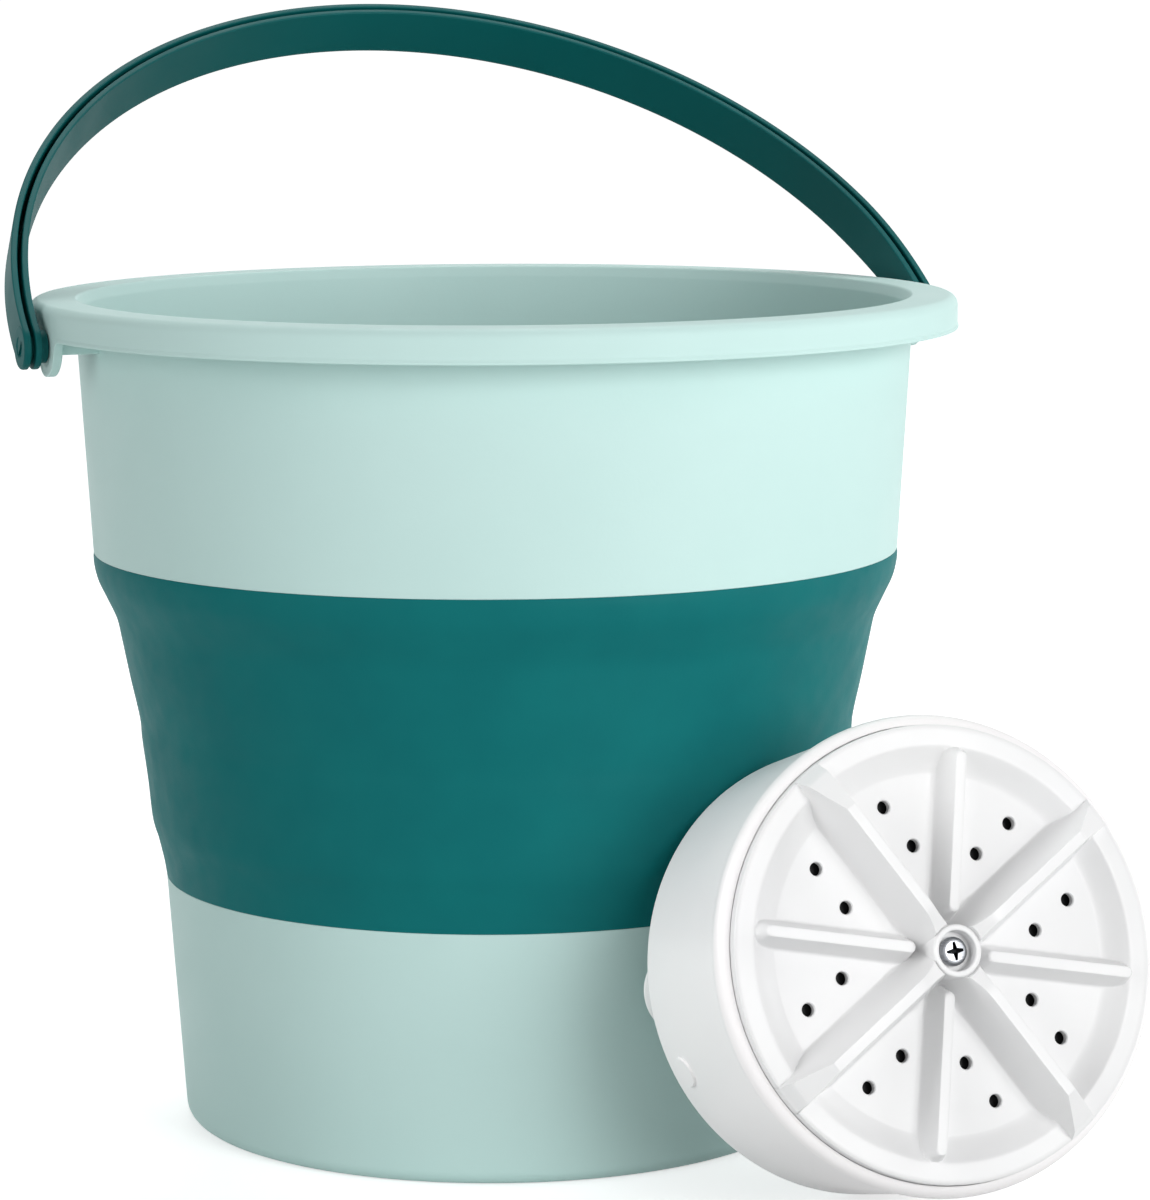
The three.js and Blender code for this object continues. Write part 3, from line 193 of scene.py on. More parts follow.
STRAIGHT = math.radians(89)
CORNER_REACH = 0.49


def rounded(corners, steps=4):
    """A closed outline with rounded corners; a corner is (radius, level) or (radius, level, round)."""
    outline = []
    for i, corner in enumerate(corners):
        point = Vector(corner[:2])
        size = corner[2] if len(corner) > 2 else 0
        before = Vector(corners[i - 1][:2]) - point
        after = Vector(corners[(i + 1) % len(corners)][:2]) - point
        half = before.angle(after) / 2
        if size <= 0 or half > STRAIGHT:
            outline.append(tuple(point))
            continue
        reach = min(size / math.tan(half), CORNER_REACH * min(before.length, after.length))
        size = reach * math.tan(half)
        middle = (before.normalized() + after.normalized()).normalized()
        centre = point + middle * (size / math.sin(half))
        start = point + before.normalized() * reach - centre
        end = point + after.normalized() * reach - centre
        sweep = start.angle(end)
        for step in range(steps + 1):
            share = step / steps
            turned = start * math.sin((1 - share) * sweep) + end * math.sin(share * sweep)
            outline.append(tuple(centre + turned / math.sin(sweep)))
    return outline


def arc(centre_radius, centre_level, size, start, end, steps):
    """Points on an arc between two angles in degrees."""
    points = []
    for step in range(steps + 1):
        angle = math.radians(start + (end - start) * step / steps)
        points.append((centre_radius + size * math.cos(angle), centre_level + size * math.sin(angle)))
    return points


def spline(points, steps):
    """A smooth line through points, evenly stepped along their numbering."""
    made = []
    count = len(points) - 1
    for step in range(steps + 1):
        place = count * step / steps
        i = min(int(place), count - 1)
        t = place - i
        a, b = Vector(points[max(i - 1, 0)]), Vector(points[i])
        c, d = Vector(points[i + 1]), Vector(points[min(i + 2, count)])
        made.append(tuple(0.5 * (2 * b + (c - a) * t + (2 * a - 5 * b + 4 * c - d) * t * t
                                 + (3 * b - a - 3 * c + d) * t ** 3)))
    return made


# Meshes

def finish_mesh(piece, sharp=SHARP_ANGLE):
    """Turns the faces outward, smooths them and keeps the edges that are sharper than an angle."""
    shape = bmesh.new()
    shape.from_mesh(piece.data)
    bmesh.ops.remove_doubles(shape, verts=shape.verts, dist=MM * MERGE_DISTANCE)
    bmesh.ops.recalc_face_normals(shape, faces=shape.faces)
    shape.to_mesh(piece.data)
    shape.free()
    piece.data.shade_smooth()
    piece.data.set_sharp_from_angle(angle=math.radians(sharp))
    return piece


def object_of(name, points, faces):
    mesh = bpy.data.meshes.new(name)
    mesh.from_pydata([tuple(point) for point in points], [], faces)
    piece = bpy.data.objects.new(name, mesh)
    bpy.context.scene.collection.objects.link(piece)
    return piece


def skin(name, rows, place, wrap=True, capped=False):
    """A surface through rows of points; a row of one point is a pole."""
    points, index = [], []
    for row in rows:
        index.append(range(len(points), len(points) + len(row)))
        points.extend(place @ Vector(point) for point in row)
    faces = []
    pairs = list(zip(index, index[1:]))
    if wrap:
        pairs.append((index[-1], index[0]))
    for a, b in pairs:
        count = max(len(a), len(b))
        if count == 1:
            continue
        for j in range(count):
            k = (j + 1) % count
            if len(a) == 1:
                faces.append((a[0], b[k], b[j]))
            elif len(b) == 1:
                faces.append((a[j], a[k], b[0]))
            else:
                faces.append((a[j], a[k], b[k], b[j]))
    if capped:
        faces.append(tuple(reversed(index[0])))
        faces.append(tuple(index[-1]))
    return object_of(name, points, faces)


def lathe(name, outline, place, sides):
    """A solid turned about the local Z from a closed outline of (radius, level)."""
    rows = []
    for radius, level in outline:
        if radius < ON_AXIS:
            rows.append([Vector((0, 0, level))])
        else:
            rows.append([on_circle(radius, 360 * j / sides, level) for j in range(sides)])
    return skin(name, rows, place)


def rod(name, radius, bottom, top, place):
    return lathe(name, [(0, bottom), (radius, bottom), (radius, top), (0, top)], place, SMALL_SIDES)


def joined(name, pieces):
    """One object with the meshes of several."""
    shape = bmesh.new()
    for piece in pieces:
        shape.from_mesh(piece.data)
        bpy.data.objects.remove(piece)
    mesh = bpy.data.meshes.new(name)
    shape.to_mesh(mesh)
    shape.free()
    whole = bpy.data.objects.new(name, mesh)
    bpy.context.scene.collection.objects.link(whole)
    return whole


def block(name, low, high, place):
    corners = [(x, y, z) for x in (low[0], high[0]) for y in (low[1], high[1])
               for z in (low[2], high[2])]
    faces = [(0, 1, 3, 2), (4, 6, 7, 5), (0, 4, 5, 1), (2, 3, 7, 6), (0, 2, 6, 4), (1, 5, 7, 3)]
    return object_of(name, [place @ Vector(corner) for corner in corners], faces)


def combined(piece, others, operation):
    """A piece with others cut away from it or added to it."""
    tool = joined("tool", others)
    finish_mesh(tool)
    finish_mesh(piece)
    modifier = piece.modifiers.new("combine", "BOOLEAN")
    modifier.object = tool
    modifier.operation = operation
    modifier.solver = "EXACT"
    view = bpy.context.evaluated_depsgraph_get()
    mesh = bpy.data.meshes.new_from_object(piece.evaluated_get(view))
    piece.modifiers.clear()
    piece.data = mesh
    bpy.data.objects.remove(tool)
    return piece


# Materials

DRIFT_DETAIL = 3
SMEAR_DETAIL = 4
SMEAR_FINENESS = 3
GRAIN_DETAIL = 3
GRAIN_ROUGHNESS = 0.6
GRAIN_HEIGHT = 0.0002
MARK_STRETCH = (1, 1, 40)
MARK_SCALE = 60
MARK_DETAIL = 5
MARK_ROUGHNESS = 0.65
MARK_STRENGTH = 0.15
MARK_HEIGHT = 0.0001


def shader_tree(name):
    material = bpy.data.materials.new(name)
    material.use_nodes = True
    tree = material.node_tree
    return material, tree, tree.nodes["Principled BSDF"]


def linear(red, green, blue):
    """A display colour from 0 to 255 as the linear values that sockets take, by the sRGB curve."""
    values = []
    for value in (red, green, blue):
        share = value / 255
        values.append(share / 12.92 if share <= 0.04045 else ((share + 0.055) / 1.055) ** 2.4)
    return (*values, 1)


def noise(tree, scale, detail, coords, roughness=0.5):
    node = tree.nodes.new("ShaderNodeTexNoise")
    node.inputs["Scale"].default_value = scale
    node.inputs["Detail"].default_value = detail
    node.inputs["Roughness"].default_value = roughness
    tree.links.new(coords, node.inputs["Vector"])
    return node.outputs["Fac"]


def ranged(tree, value, low, high, start=0.3, end=0.7):
    node = tree.nodes.new("ShaderNodeMapRange")
    node.inputs["From Min"].default_value = start
    node.inputs["From Max"].default_value = end
    node.inputs["To Min"].default_value = low
    node.inputs["To Max"].default_value = high
    tree.links.new(value, node.inputs["Value"])
    return node.outputs["Result"]


def mixed(tree, factor, first, second):
    node = tree.nodes.new("ShaderNodeMix")
    node.data_type = "RGBA"
    node.inputs["A"].default_value = first
    node.inputs["B"].default_value = second
    tree.links.new(factor, node.inputs["Factor"])
    return node.outputs["Result"]


def bumped(tree, shader, height, strength, distance):
    node = tree.nodes.new("ShaderNodeBump")
    node.inputs["Strength"].default_value = strength
    node.inputs["Distance"].default_value = distance
    tree.links.new(height, node.inputs["Height"])
    tree.links.new(node.outputs["Normal"], shader.inputs["Normal"])


def moulded(name, colour, shade, rough, grain=900, bump=0.12, patches=14, specular=0.5):
    """Moulded plastic or rubber: a colour that drifts slightly, uneven gloss and a fine grain."""
    material, tree, shader = shader_tree(name)
    coords = tree.nodes.new("ShaderNodeTexCoord").outputs["Object"]
    drift = noise(tree, patches, DRIFT_DETAIL, coords)
    tree.links.new(mixed(tree, ranged(tree, drift, 0, 1), linear(*shade), linear(*colour)),
                   shader.inputs["Base Color"])
    smear = noise(tree, patches * SMEAR_FINENESS, SMEAR_DETAIL, coords)
    tree.links.new(ranged(tree, smear, rough[0], rough[1]), shader.inputs["Roughness"])
    fine = noise(tree, grain, GRAIN_DETAIL, coords, GRAIN_ROUGHNESS)
    bumped(tree, shader, fine, bump, GRAIN_HEIGHT)
    shader.inputs["Specular IOR Level"].default_value = specular
    return material


def metal(name, colour, shade, rough):
    """Machined metal with fine marks along one direction."""
    material, tree, shader = shader_tree(name)
    coords = tree.nodes.new("ShaderNodeTexCoord").outputs["Object"]
    mapping = tree.nodes.new("ShaderNodeMapping")
    mapping.inputs["Scale"].default_value = MARK_STRETCH
    tree.links.new(coords, mapping.inputs["Vector"])
    marks = noise(tree, MARK_SCALE, MARK_DETAIL, mapping.outputs["Vector"], MARK_ROUGHNESS)
    tree.links.new(mixed(tree, ranged(tree, marks, 0, 1), linear(*shade), linear(*colour)),
                   shader.inputs["Base Color"])
    tree.links.new(ranged(tree, marks, rough[0], rough[1]), shader.inputs["Roughness"])
    bumped(tree, shader, marks, MARK_STRENGTH, MARK_HEIGHT)
    shader.inputs["Metallic"].default_value = 1
    return material


mint = moulded("mint_plastic", (201, 230, 226), (197, 227, 223), (0.48, 0.58), specular=0.2)
teal = moulded("teal_rubber", (8, 110, 111), (6, 105, 107), (0.5, 0.6), grain=1400, bump=0.15,
               patches=40, specular=0.1)
dark_teal = moulded("dark_teal_plastic", (0, 88, 88), (0, 82, 82), (0.46, 0.56), bump=0.06,
                    specular=0.14)
white = moulded("white_plastic", (238, 236, 236), (235, 233, 234), (0.32, 0.42), bump=0.06,
                specular=0.4)
# The impeller is the casing's white plastic made a little darker: painted shade that tones down its
# brightly lit face
impeller_white_painted_shade = moulded("impeller_white_painted_shade", (225, 225, 225), (222, 222, 223), (0.3, 0.4), bump=0.06,
                         specular=0.4)
grey_rubber = moulded("grey_rubber", (226, 228, 228), (214, 217, 218), (0.5, 0.65), bump=0.15)
black_rubber = moulded("black_rubber", (30, 32, 33), (22, 23, 24), (0.6, 0.8), bump=0.2)
acetal = moulded("acetal", (232, 228, 216), (224, 219, 206), (0.35, 0.5), bump=0.05)
# Painted shade: a near-black grey put on the white casing's deck, where only shade falls behind the
# impeller's holes
deck_painted_shade = moulded("deck_painted_shade", (26, 26, 28), (18, 18, 20), (0.5, 0.6))
board_green = moulded("board", (32, 104, 66), (22, 84, 52), (0.3, 0.5), grain=500, bump=0.3,
                      patches=220)
steel = metal("steel", (176, 178, 182), (138, 141, 146), (0.22, 0.38))
# Painted shade: a near-black steel for the cross recess's walls, standing for the shade inside the
# recess
cross_painted_shade = metal("cross_painted_shade", (30, 31, 33), (16, 17, 18), (0.4, 0.6))
bronze = metal("bronze", (196, 152, 88), (172, 128, 70), (0.28, 0.42))


def second_material(piece, material, place, reach, low, high):
    """Gives the faces near the place's axis, between two levels, a material of their own."""
    piece.data.materials.append(material)
    inverse = place.inverted()
    for face in piece.data.polygons:
        centre = inverse @ face.center
        if math.hypot(centre.x, centre.y) < reach and low < centre.z < high:
            face.material_index = 1


unit_pieces = []


def dress(piece, body, slot, material, *nodes, sharp=SHARP_ANGLE):
    """Gives a finished piece its material, its body and the nodes that it stands for."""
    finish_mesh(piece, sharp)
    piece.data.materials.clear()
    piece.data.materials.append(material)
    weighted = piece.modifiers.new("weighted", "WEIGHTED_NORMAL")
    weighted.keep_sharp = True
    if body in ("washer", "impeller"):
        unit_pieces.append(piece)
    if body:
        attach(piece, body)
    if nodes:
        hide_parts(*nodes)
    return piece


# Camera: fitted to the photograph of 1150 by 1200 pixels

PHOTO_LONG_SIDE = 1200
FOCAL_PIXELS = 4491.24
SENSOR = 36
CAMERA_PLACE = Vector((24.84, -1403.21, 359.44)) * MM
CAMERA_PITCH = 7.97
CAMERA_ROLL = -0.19
CLIP_START = 0.05
CLIP_END = 500

camera_data = bpy.data.cameras.new("camera")
camera_data.sensor_width = SENSOR
camera_data.lens = SENSOR * FOCAL_PIXELS / PHOTO_LONG_SIDE
camera_data.clip_start = CLIP_START
camera_data.clip_end = CLIP_END
camera = bpy.data.objects.new("camera", camera_data)
bpy.context.scene.collection.objects.link(camera)
camera.location = CAMERA_PLACE
camera.rotation_mode = "QUATERNION"
pitched = Matrix.Rotation(math.radians(90 - CAMERA_PITCH), 4, "X")
rolled = Matrix.Rotation(math.radians(CAMERA_ROLL), 4, "Z")
camera.rotation_quaternion = (pitched @ rolled).to_quaternion()
bpy.context.scene.camera = camera


# Lower cup

FOOT_WIDTH = 12
FOOT_RISE = 1.2
FOOT_RISE_ROUND = 2
FOOT_LEAN = 1.5
FOOT_EDGE_ROUND = 1
CUP_ROUND = 5
SEAM_ROUND = 0.3
CUP_STEPS = 6


def lower_cup():
    foot = BASE_RADIUS - FOOT_WIDTH
    outline = rounded([
        (0, FOOT_RISE), (foot, FOOT_RISE, FOOT_RISE_ROUND), (foot - FOOT_LEAN, 0, FOOT_EDGE_ROUND),
        (BASE_RADIUS, 0, CUP_ROUND), (LOWER_SEAM_RADIUS, BAND_BOTTOM, SEAM_ROUND),
        (LOWER_SEAM_RADIUS - WALL, BAND_BOTTOM, SEAM_ROUND),
        (BASE_RADIUS - WALL, FLOOR_THICKNESS, CUP_ROUND), (0, FLOOR_THICKNESS),
    ], CUP_STEPS)
    return lathe("lower_cup_shell", outline, ROW, LARGE_SIDES)


dress(lower_cup(), "base", "mint_plastic", mint, "lower_cup")


# Folding band

# The band's outer line as (share of its height, share of its widening)
BAND_LINE_SHARES = (
    (0, 0), (0.05, 0.04), (0.12, 0.12), (0.18, 0.2), (0.3, 0.26), (0.42, 0.335), (0.49, 0.365),
    (0.61, 0.49), (0.735, 0.61), (0.8, 0.68), (0.86, 0.81), (0.92, 0.945), (0.97, 1), (1, 1),
)
BAND_STEPS = 72


def folding_band():
    widening = UPPER_SEAM_RADIUS - LOWER_SEAM_RADIUS
    line = [(LOWER_SEAM_RADIUS + widening * out, BAND_BOTTOM + BAND_HEIGHT * up)
            for up, out in BAND_LINE_SHARES]
    outer = spline(line, BAND_STEPS)
    inner = [(radius - BAND_WALL, level) for radius, level in reversed(outer)]
    return lathe("folding_band_skin", outer + inner, ROW, LARGE_SIDES)


band = dress(folding_band(), None, "teal_rubber", teal, "folding_band")
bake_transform(band)


# Upper shell: a turned wall and rim whose skirt drops into a lug at each pivot

LUG_YAWS = (LUG_YAW, LUG_YAW + 180)
FILLET_STEPS = 8
LOBE_STEPS = 28
PLAIN_STEPS = 72
SHELL_STEPS = 5
UNDER_RIM_ROUND = 1.2
SKIRT_INNER_ROUND = 1
SKIRT_EDGE_ROUND = 0.5
LIP_PROUD = 0.3
LIP_HEIGHT = 0.7
LIP_ROUND = 0.25
LIP_TOP_ROUND = 0.3
RIM_ROUND = 3
MOUTH_BEVEL_WIDTH = 1.3
MOUTH_BEVEL_DROP = 3.4
MOUTH_TOP_ROUND = 1
MOUTH_ROUND = 3
GUSSET_BURY = 1.5
GUSSET_CHAMFER = 0.35
GUSSET_FLAT_SHARE = 0.65
PEG_HOLE_GAP = 0.3
PEG_HOLE_ENDS = (RIM_RADIUS - 5, RIM_RADIUS + 2)
SHELL_SHARP = 40


def lug_drop_line():
    """The skirt's lower edge near a lug, as (across, level) from one side to the other."""
    fillet_level = SKIRT_BOTTOM - LUG_FILLET
    start = math.degrees(math.asin((PIVOT_Z - fillet_level) / LUG_LOBE))
    half = LUG_LOBE * math.cos(math.radians(start))
    corner = half + LUG_FILLET
    line = arc(-corner, fillet_level, LUG_FILLET, 90, 0, FILLET_STEPS)
    line += arc(0, PIVOT_Z, LUG_LOBE, 180 + start, 360 - start, LOBE_STEPS)[1:]
    line += arc(corner, fillet_level, LUG_FILLET, 180, 90, FILLET_STEPS)[1:]
    return line


def shell_profile(skirt_level, thickness):
    """The section of wall and rim, with the skirt's lower edge at a level."""
    underside = BUCKET_HEIGHT - WALL
    inside = RIM_RADIUS - thickness
    share = (underside - BAND_TOP) / (BUCKET_HEIGHT - BAND_TOP)
    under_radius = UPPER_SEAM_RADIUS + (WALL_TOP_RADIUS - UPPER_SEAM_RADIUS) * share
    return rounded([
        (UPPER_SEAM_RADIUS - WALL, BAND_TOP, SEAM_ROUND), (UPPER_SEAM_RADIUS, BAND_TOP, SEAM_ROUND),
        (under_radius, underside, UNDER_RIM_ROUND), (inside, underside, SKIRT_INNER_ROUND),
        (inside, skirt_level, SKIRT_EDGE_ROUND), (RIM_RADIUS + LIP_PROUD, skirt_level, LIP_ROUND),
        (RIM_RADIUS + LIP_PROUD, skirt_level + LIP_HEIGHT, LIP_ROUND),
        (RIM_RADIUS, skirt_level + 2 * LIP_HEIGHT, LIP_TOP_ROUND),
        (RIM_RADIUS, BUCKET_HEIGHT, RIM_ROUND),
        (MOUTH_RADIUS + MOUTH_BEVEL_WIDTH, BUCKET_HEIGHT, MOUTH_TOP_ROUND),
        (MOUTH_RADIUS, BUCKET_HEIGHT - MOUTH_BEVEL_DROP, MOUTH_ROUND),
    ], SHELL_STEPS)


def gusset(place):
    """A small plate between the wall and a lug, with its outline in the place's X and Z."""
    bottom = SKIRT_BOTTOM - GUSSET_DROP
    top = BUCKET_HEIGHT - WALL / 2
    outer = RIM_RADIUS - LUG_THICKNESS / 2
    inner = WALL_TOP_RADIUS - GUSSET_BURY
    outline = [(inner, bottom), (outer, bottom), (outer, top), (WALL_TOP_RADIUS, top)]
    middle = Vector((inner + outer, bottom + top)) / 2
    rows = []
    for shift, inset in ((-1, GUSSET_CHAMFER), (-GUSSET_FLAT_SHARE, 0), (GUSSET_FLAT_SHARE, 0),
                         (1, GUSSET_CHAMFER)):
        row = []
        for radius, level in outline:
            radius -= math.copysign(inset, radius - middle.x)
            level -= math.copysign(inset, level - middle.y)
            row.append((radius, shift * GUSSET_THICKNESS / 2, level))
        rows.append(row)
    return skin("gusset", rows, place, wrap=False, capped=True)


def upper_shell():
    line = lug_drop_line()
    reach = math.degrees(line[-1][0] / RIM_RADIUS)
    columns = []
    for lug_yaw in LUG_YAWS:
        for across, level in line:
            share = min(1, (line[-1][0] - abs(across)) / LUG_FILLET)
            thickness = WALL + (LUG_THICKNESS - WALL) * share
            columns.append((lug_yaw + math.degrees(across / RIM_RADIUS), level, thickness))
        gap = 180 - 2 * reach
        for step in range(1, PLAIN_STEPS):
            columns.append((lug_yaw + reach + gap * step / PLAIN_STEPS, SKIRT_BOTTOM, WALL))
    profiles = [(angle, shell_profile(level, thickness)) for angle, level, thickness in columns]
    rows = [[on_circle(profile[i][0], angle, profile[i][1]) for angle, profile in profiles]
            for i in range(len(profiles[0][1]))]
    shell = skin("upper_shell_body", rows, ROW)
    gussets, holes = [], []
    for lug_yaw in LUG_YAWS:
        turn = ROW @ Matrix.Rotation(math.radians(lug_yaw), 4, "Z")
        for side in (-1, 1):
            gussets.append(gusset(turn @ Matrix.Translation((0, side * GUSSET_OFFSET, 0))))
        sideways = turn @ Matrix.Translation((0, 0, PIVOT_Z)) @ Matrix.Rotation(math.pi / 2, 4, "Y")
        holes.append(rod("hole", PEG_RADIUS + PEG_HOLE_GAP, *PEG_HOLE_ENDS, sideways))
    combined(shell, holes, "DIFFERENCE")
    return joined("upper_shell_body", [shell, *gussets])


dress(upper_shell(), "upper", "mint_plastic", mint, "upper_shell", sharp=SHELL_SHARP)


# Handle

HANDLE_SPAN = RIM_RADIUS + HANDLE_GAP + HANDLE_THICKNESS / 2
HANDLE_REACH = HANDLE_SPAN + HANDLE_EXTRA_REACH
HANDLE_STEPS = 160
HANDLE_TAPER = 50
END_SHARE = 2 * HANDLE_END_RADIUS / HANDLE_WIDTH
ARCH_BACK_ROUND = 1.2
ARCH_EDGE_ROUND = 0.55
GROOVE_EDGE_ROUND = 0.4
GROOVE_FLOOR_ROUND = 0.6
ARCH_CORNER_STEPS = 3
END_PROUD = 0.2
END_FACE_ROUND = 0.9
END_INNER_ROUND = 0.4
DIMPLE_RADIUS = 3.2
DIMPLE_FLOOR_RADIUS = 2.7
DIMPLE_DEPTH = 0.5
DIMPLE_ROUND = 0.4
DIMPLE_FLOOR_ROUND = 0.3
PEG_GAP = 0.3
PEG_TIP_ROUND = 0.4
PEG_LIP_ROUND = 0.3
PEG_LIP_WIDTH = 0.4
PEG_BARB_ROUND = 0.2
PEG_NECK_ROUND = 0.1
PEG_COLLAR_ROUND = 0.3
COLLAR_BURY = 0.7
PEG_BURY = 0.9


def handle_arch():
    """A channel swept along half an oval, narrowing to the round ends."""
    half = HANDLE_THICKNESS / 2
    side = HANDLE_WIDTH / 2
    groove = half - HANDLE_FLANGE
    groove_floor = HANDLE_WEB - side
    section = rounded([
        (half, -side, ARCH_BACK_ROUND), (half, side, ARCH_EDGE_ROUND),
        (groove, side, GROOVE_EDGE_ROUND), (groove, groove_floor, GROOVE_FLOOR_ROUND),
        (-groove, groove_floor, GROOVE_FLOOR_ROUND), (-groove, side, GROOVE_EDGE_ROUND),
        (-half, side, ARCH_EDGE_ROUND), (-half, -side, ARCH_BACK_ROUND),
    ], ARCH_CORNER_STEPS)
    rows = []
    for step in range(HANDLE_STEPS + 1):
        angle = math.pi * step / HANDLE_STEPS
        centre = Vector((HANDLE_SPAN * math.cos(angle), HANDLE_REACH * math.sin(angle)))
        out = Vector((HANDLE_REACH * math.cos(angle), HANDLE_SPAN * math.sin(angle))).normalized()
        share = min(HANDLE_REACH * math.sin(angle) / HANDLE_TAPER, 1)
        narrow = END_SHARE + (1 - END_SHARE) * share * share * (3 - 2 * share)
        rows.append([(centre.x + out.x * thick, centre.y + out.y * thick, wide * narrow)
                     for thick, wide in section])
    return skin("arch", rows, HANDLE, wrap=False, capped=True)


def handle_end(turn):
    """The round end's outer and inner plates and its snap peg, from the axis outwards."""
    outside = HANDLE_SPAN + HANDLE_THICKNESS / 2
    inside = HANDLE_SPAN - HANDLE_THICKNESS / 2
    face = outside + END_PROUD
    barb = RIM_RADIUS - LUG_THICKNESS - PEG_GAP
    tip = barb - PEG_HEAD_LENGTH
    lip_radius = PEG_RADIUS + PEG_HEAD_LIP
    collar = RIM_RADIUS + PEG_GAP
    place = HANDLE @ Matrix.Rotation(turn, 4, "Z") @ Matrix.Rotation(math.pi / 2, 4, "Y")
    outer = rounded([
        (0, outside - HANDLE_FLANGE), (HANDLE_END_RADIUS, outside - HANDLE_FLANGE, END_INNER_ROUND),
        (HANDLE_END_RADIUS, face, END_FACE_ROUND), (DIMPLE_RADIUS, face, DIMPLE_ROUND),
        (DIMPLE_FLOOR_RADIUS, outside - DIMPLE_DEPTH, DIMPLE_FLOOR_ROUND),
        (0, outside - DIMPLE_DEPTH),
    ])
    inner = rounded([
        (0, inside), (HANDLE_END_RADIUS, inside, ARCH_EDGE_ROUND),
        (HANDLE_END_RADIUS, inside + HANDLE_FLANGE, END_INNER_ROUND), (0, inside + HANDLE_FLANGE),
    ])
    peg = rounded([
        (0, tip), (PEG_RADIUS, tip, PEG_TIP_ROUND), (lip_radius, barb - PEG_LIP_WIDTH, PEG_LIP_ROUND),
        (lip_radius, barb, PEG_BARB_ROUND), (PEG_RADIUS, barb, PEG_NECK_ROUND),
        (PEG_RADIUS, collar, PEG_NECK_ROUND), (PEG_COLLAR_RADIUS, collar, PEG_COLLAR_ROUND),
        (PEG_COLLAR_RADIUS, inside + COLLAR_BURY), (PEG_RADIUS, inside + COLLAR_BURY),
        (PEG_RADIUS, outside - PEG_BURY), (0, outside - PEG_BURY),
    ])
    return [lathe("part", outline, place, MEDIUM_SIDES) for outline in (outer, inner, peg)]


handle = joined("handle_grip", [handle_arch(), *handle_end(0), *handle_end(math.pi)])
dress(handle, "handle", "dark_teal_plastic", dark_teal, "handle")


# Washing unit: casing

BEAD_STEPS = 20
REAR_STEPS = 8
CASING_CORNER_STEPS = 6
DECK_EDGE_ROUND = 0.6
DECK_UNDER_ROUND = 1
# Inside this radius the deck's flat top carries the painted shade
PAINTED_SHADE_DECK_RADIUS = WELL_RADIUS - 4.2
DECK_BORE_RADIUS = 11
SEAT_RADIUS = 61.5
SEAT_TOP = 8
SEAT_BOTTOM = 5.6
SEAT_SLOPE = 1.5
LEVEL_SLACK = 0.1


def casing():
    bead_centre = CASING_FRONT_RADIUS + BEAD_PROUD - BEAD_ROUND
    bead_start = -math.degrees(math.acos((CASING_FRONT_RADIUS - bead_centre) / BEAD_ROUND))
    bead_end = math.degrees(math.acos((WELL_RADIUS - bead_centre) / BEAD_ROUND))
    rear_inner = CASING_REAR_RADIUS - CASING_WALL
    bead = arc(bead_centre, CASING_DEPTH, BEAD_ROUND, bead_start, bead_end, BEAD_STEPS)
    rear = arc(CASING_REAR_RADIUS - REAR_ROUND, REAR_ROUND, REAR_ROUND, -90, 0, REAR_STEPS)
    outline = rounded([
        (rear_inner, 0), *rear, *bead, (WELL_RADIUS, DECK_TOP, DECK_EDGE_ROUND),
        (PAINTED_SHADE_DECK_RADIUS, DECK_TOP), (DECK_BORE_RADIUS, DECK_TOP), (DECK_BORE_RADIUS, DECK_BOTTOM),
        (CASING_FRONT_RADIUS - CASING_WALL, DECK_BOTTOM, DECK_UNDER_ROUND),
        (rear_inner, SEAT_TOP + SEAT_SLOPE), (SEAT_RADIUS, SEAT_TOP), (SEAT_RADIUS, SEAT_BOTTOM),
        (rear_inner, SEAT_BOTTOM),
    ], CASING_CORNER_STEPS)
    return lathe("casing_shell", outline, UNIT, CASING_SIDES)


shell = dress(casing(), "washer", "white_plastic", white, "casing")
# The deck's flat top is painted near-black as painted shade, for the shade seen through the impeller's
# holes; the casing's plastic is white
second_material(shell, deck_painted_shade, UNIT, PAINTED_SHADE_DECK_RADIUS, DECK_TOP - LEVEL_SLACK,
                DECK_TOP + LEVEL_SLACK)


# Impeller: one moulded surface over rings of points that follow the ribs' edges

# Degrees from one tall rib to the next, and from a tall rib to a low one
QUARTER = 90
EIGHTH = 45

# The ribs' edges, and how softly the levels blend
ROOT_LEVEL = DISH_LEVEL - RIB_BURY
TALL_START = RECESS_RADIUS + 1
TALL_END = IMPELLER_RADIUS - 0.9
TALL_END_GAP = 0.2
TALL_END_STEEPNESS = 2
TALL_END_FOOT = 0.8
FLAT_START = TALL_END - TALL_RIB_FLAT_LENGTH
HUB_FLARE = 1
LOW_CREST_ENDS = (LOW_RIB_START + RIB_CREST / 2, RING_INNER - LOW_RIB_TAPER - RIB_CREST / 2)
CREST_SOFT = 0.8
BEND_SOFT = 0.15
TALL_EDGE_SOFT = 0.7
LOW_EDGE_SOFT = 0.9
FOOT_SOFT = 1.6
RING_SOFT = 0.5
DISH_POWER = 1.6


def soft_max(a, b, soft):
    """The larger of two levels, blended where they are nearly the same."""
    return max(a, b) + max(soft - abs(a - b), 0) ** 2 / (4 * soft)


def soft_min(a, b, soft):
    """The smaller of two levels, blended likewise."""
    return min(a, b) - max(soft - abs(a - b), 0) ** 2 / (4 * soft)


def tall_end_share(along):
    """How far along its flat end a tall rib has come, from 0 to 1."""
    return min(max((along - FLAT_START) / TALL_RIB_FLAT_LENGTH, 0), 1)


def tall_crest_half(along):
    hub_share = max(1 - (along - TALL_START) / TALL_RIB_HUB_LENGTH, 0)
    width = RIB_CREST + (TALL_RIB_FLAT - RIB_CREST) * tall_end_share(along)
    return width / 2 + HUB_FLARE * hub_share ** 2


def tall_root_half(along):
    widening = TALL_RIB_FLAT + TALL_END_FOOT - TALL_RIB_ROOT
    return (TALL_RIB_ROOT + widening * tall_end_share(along)) / 2


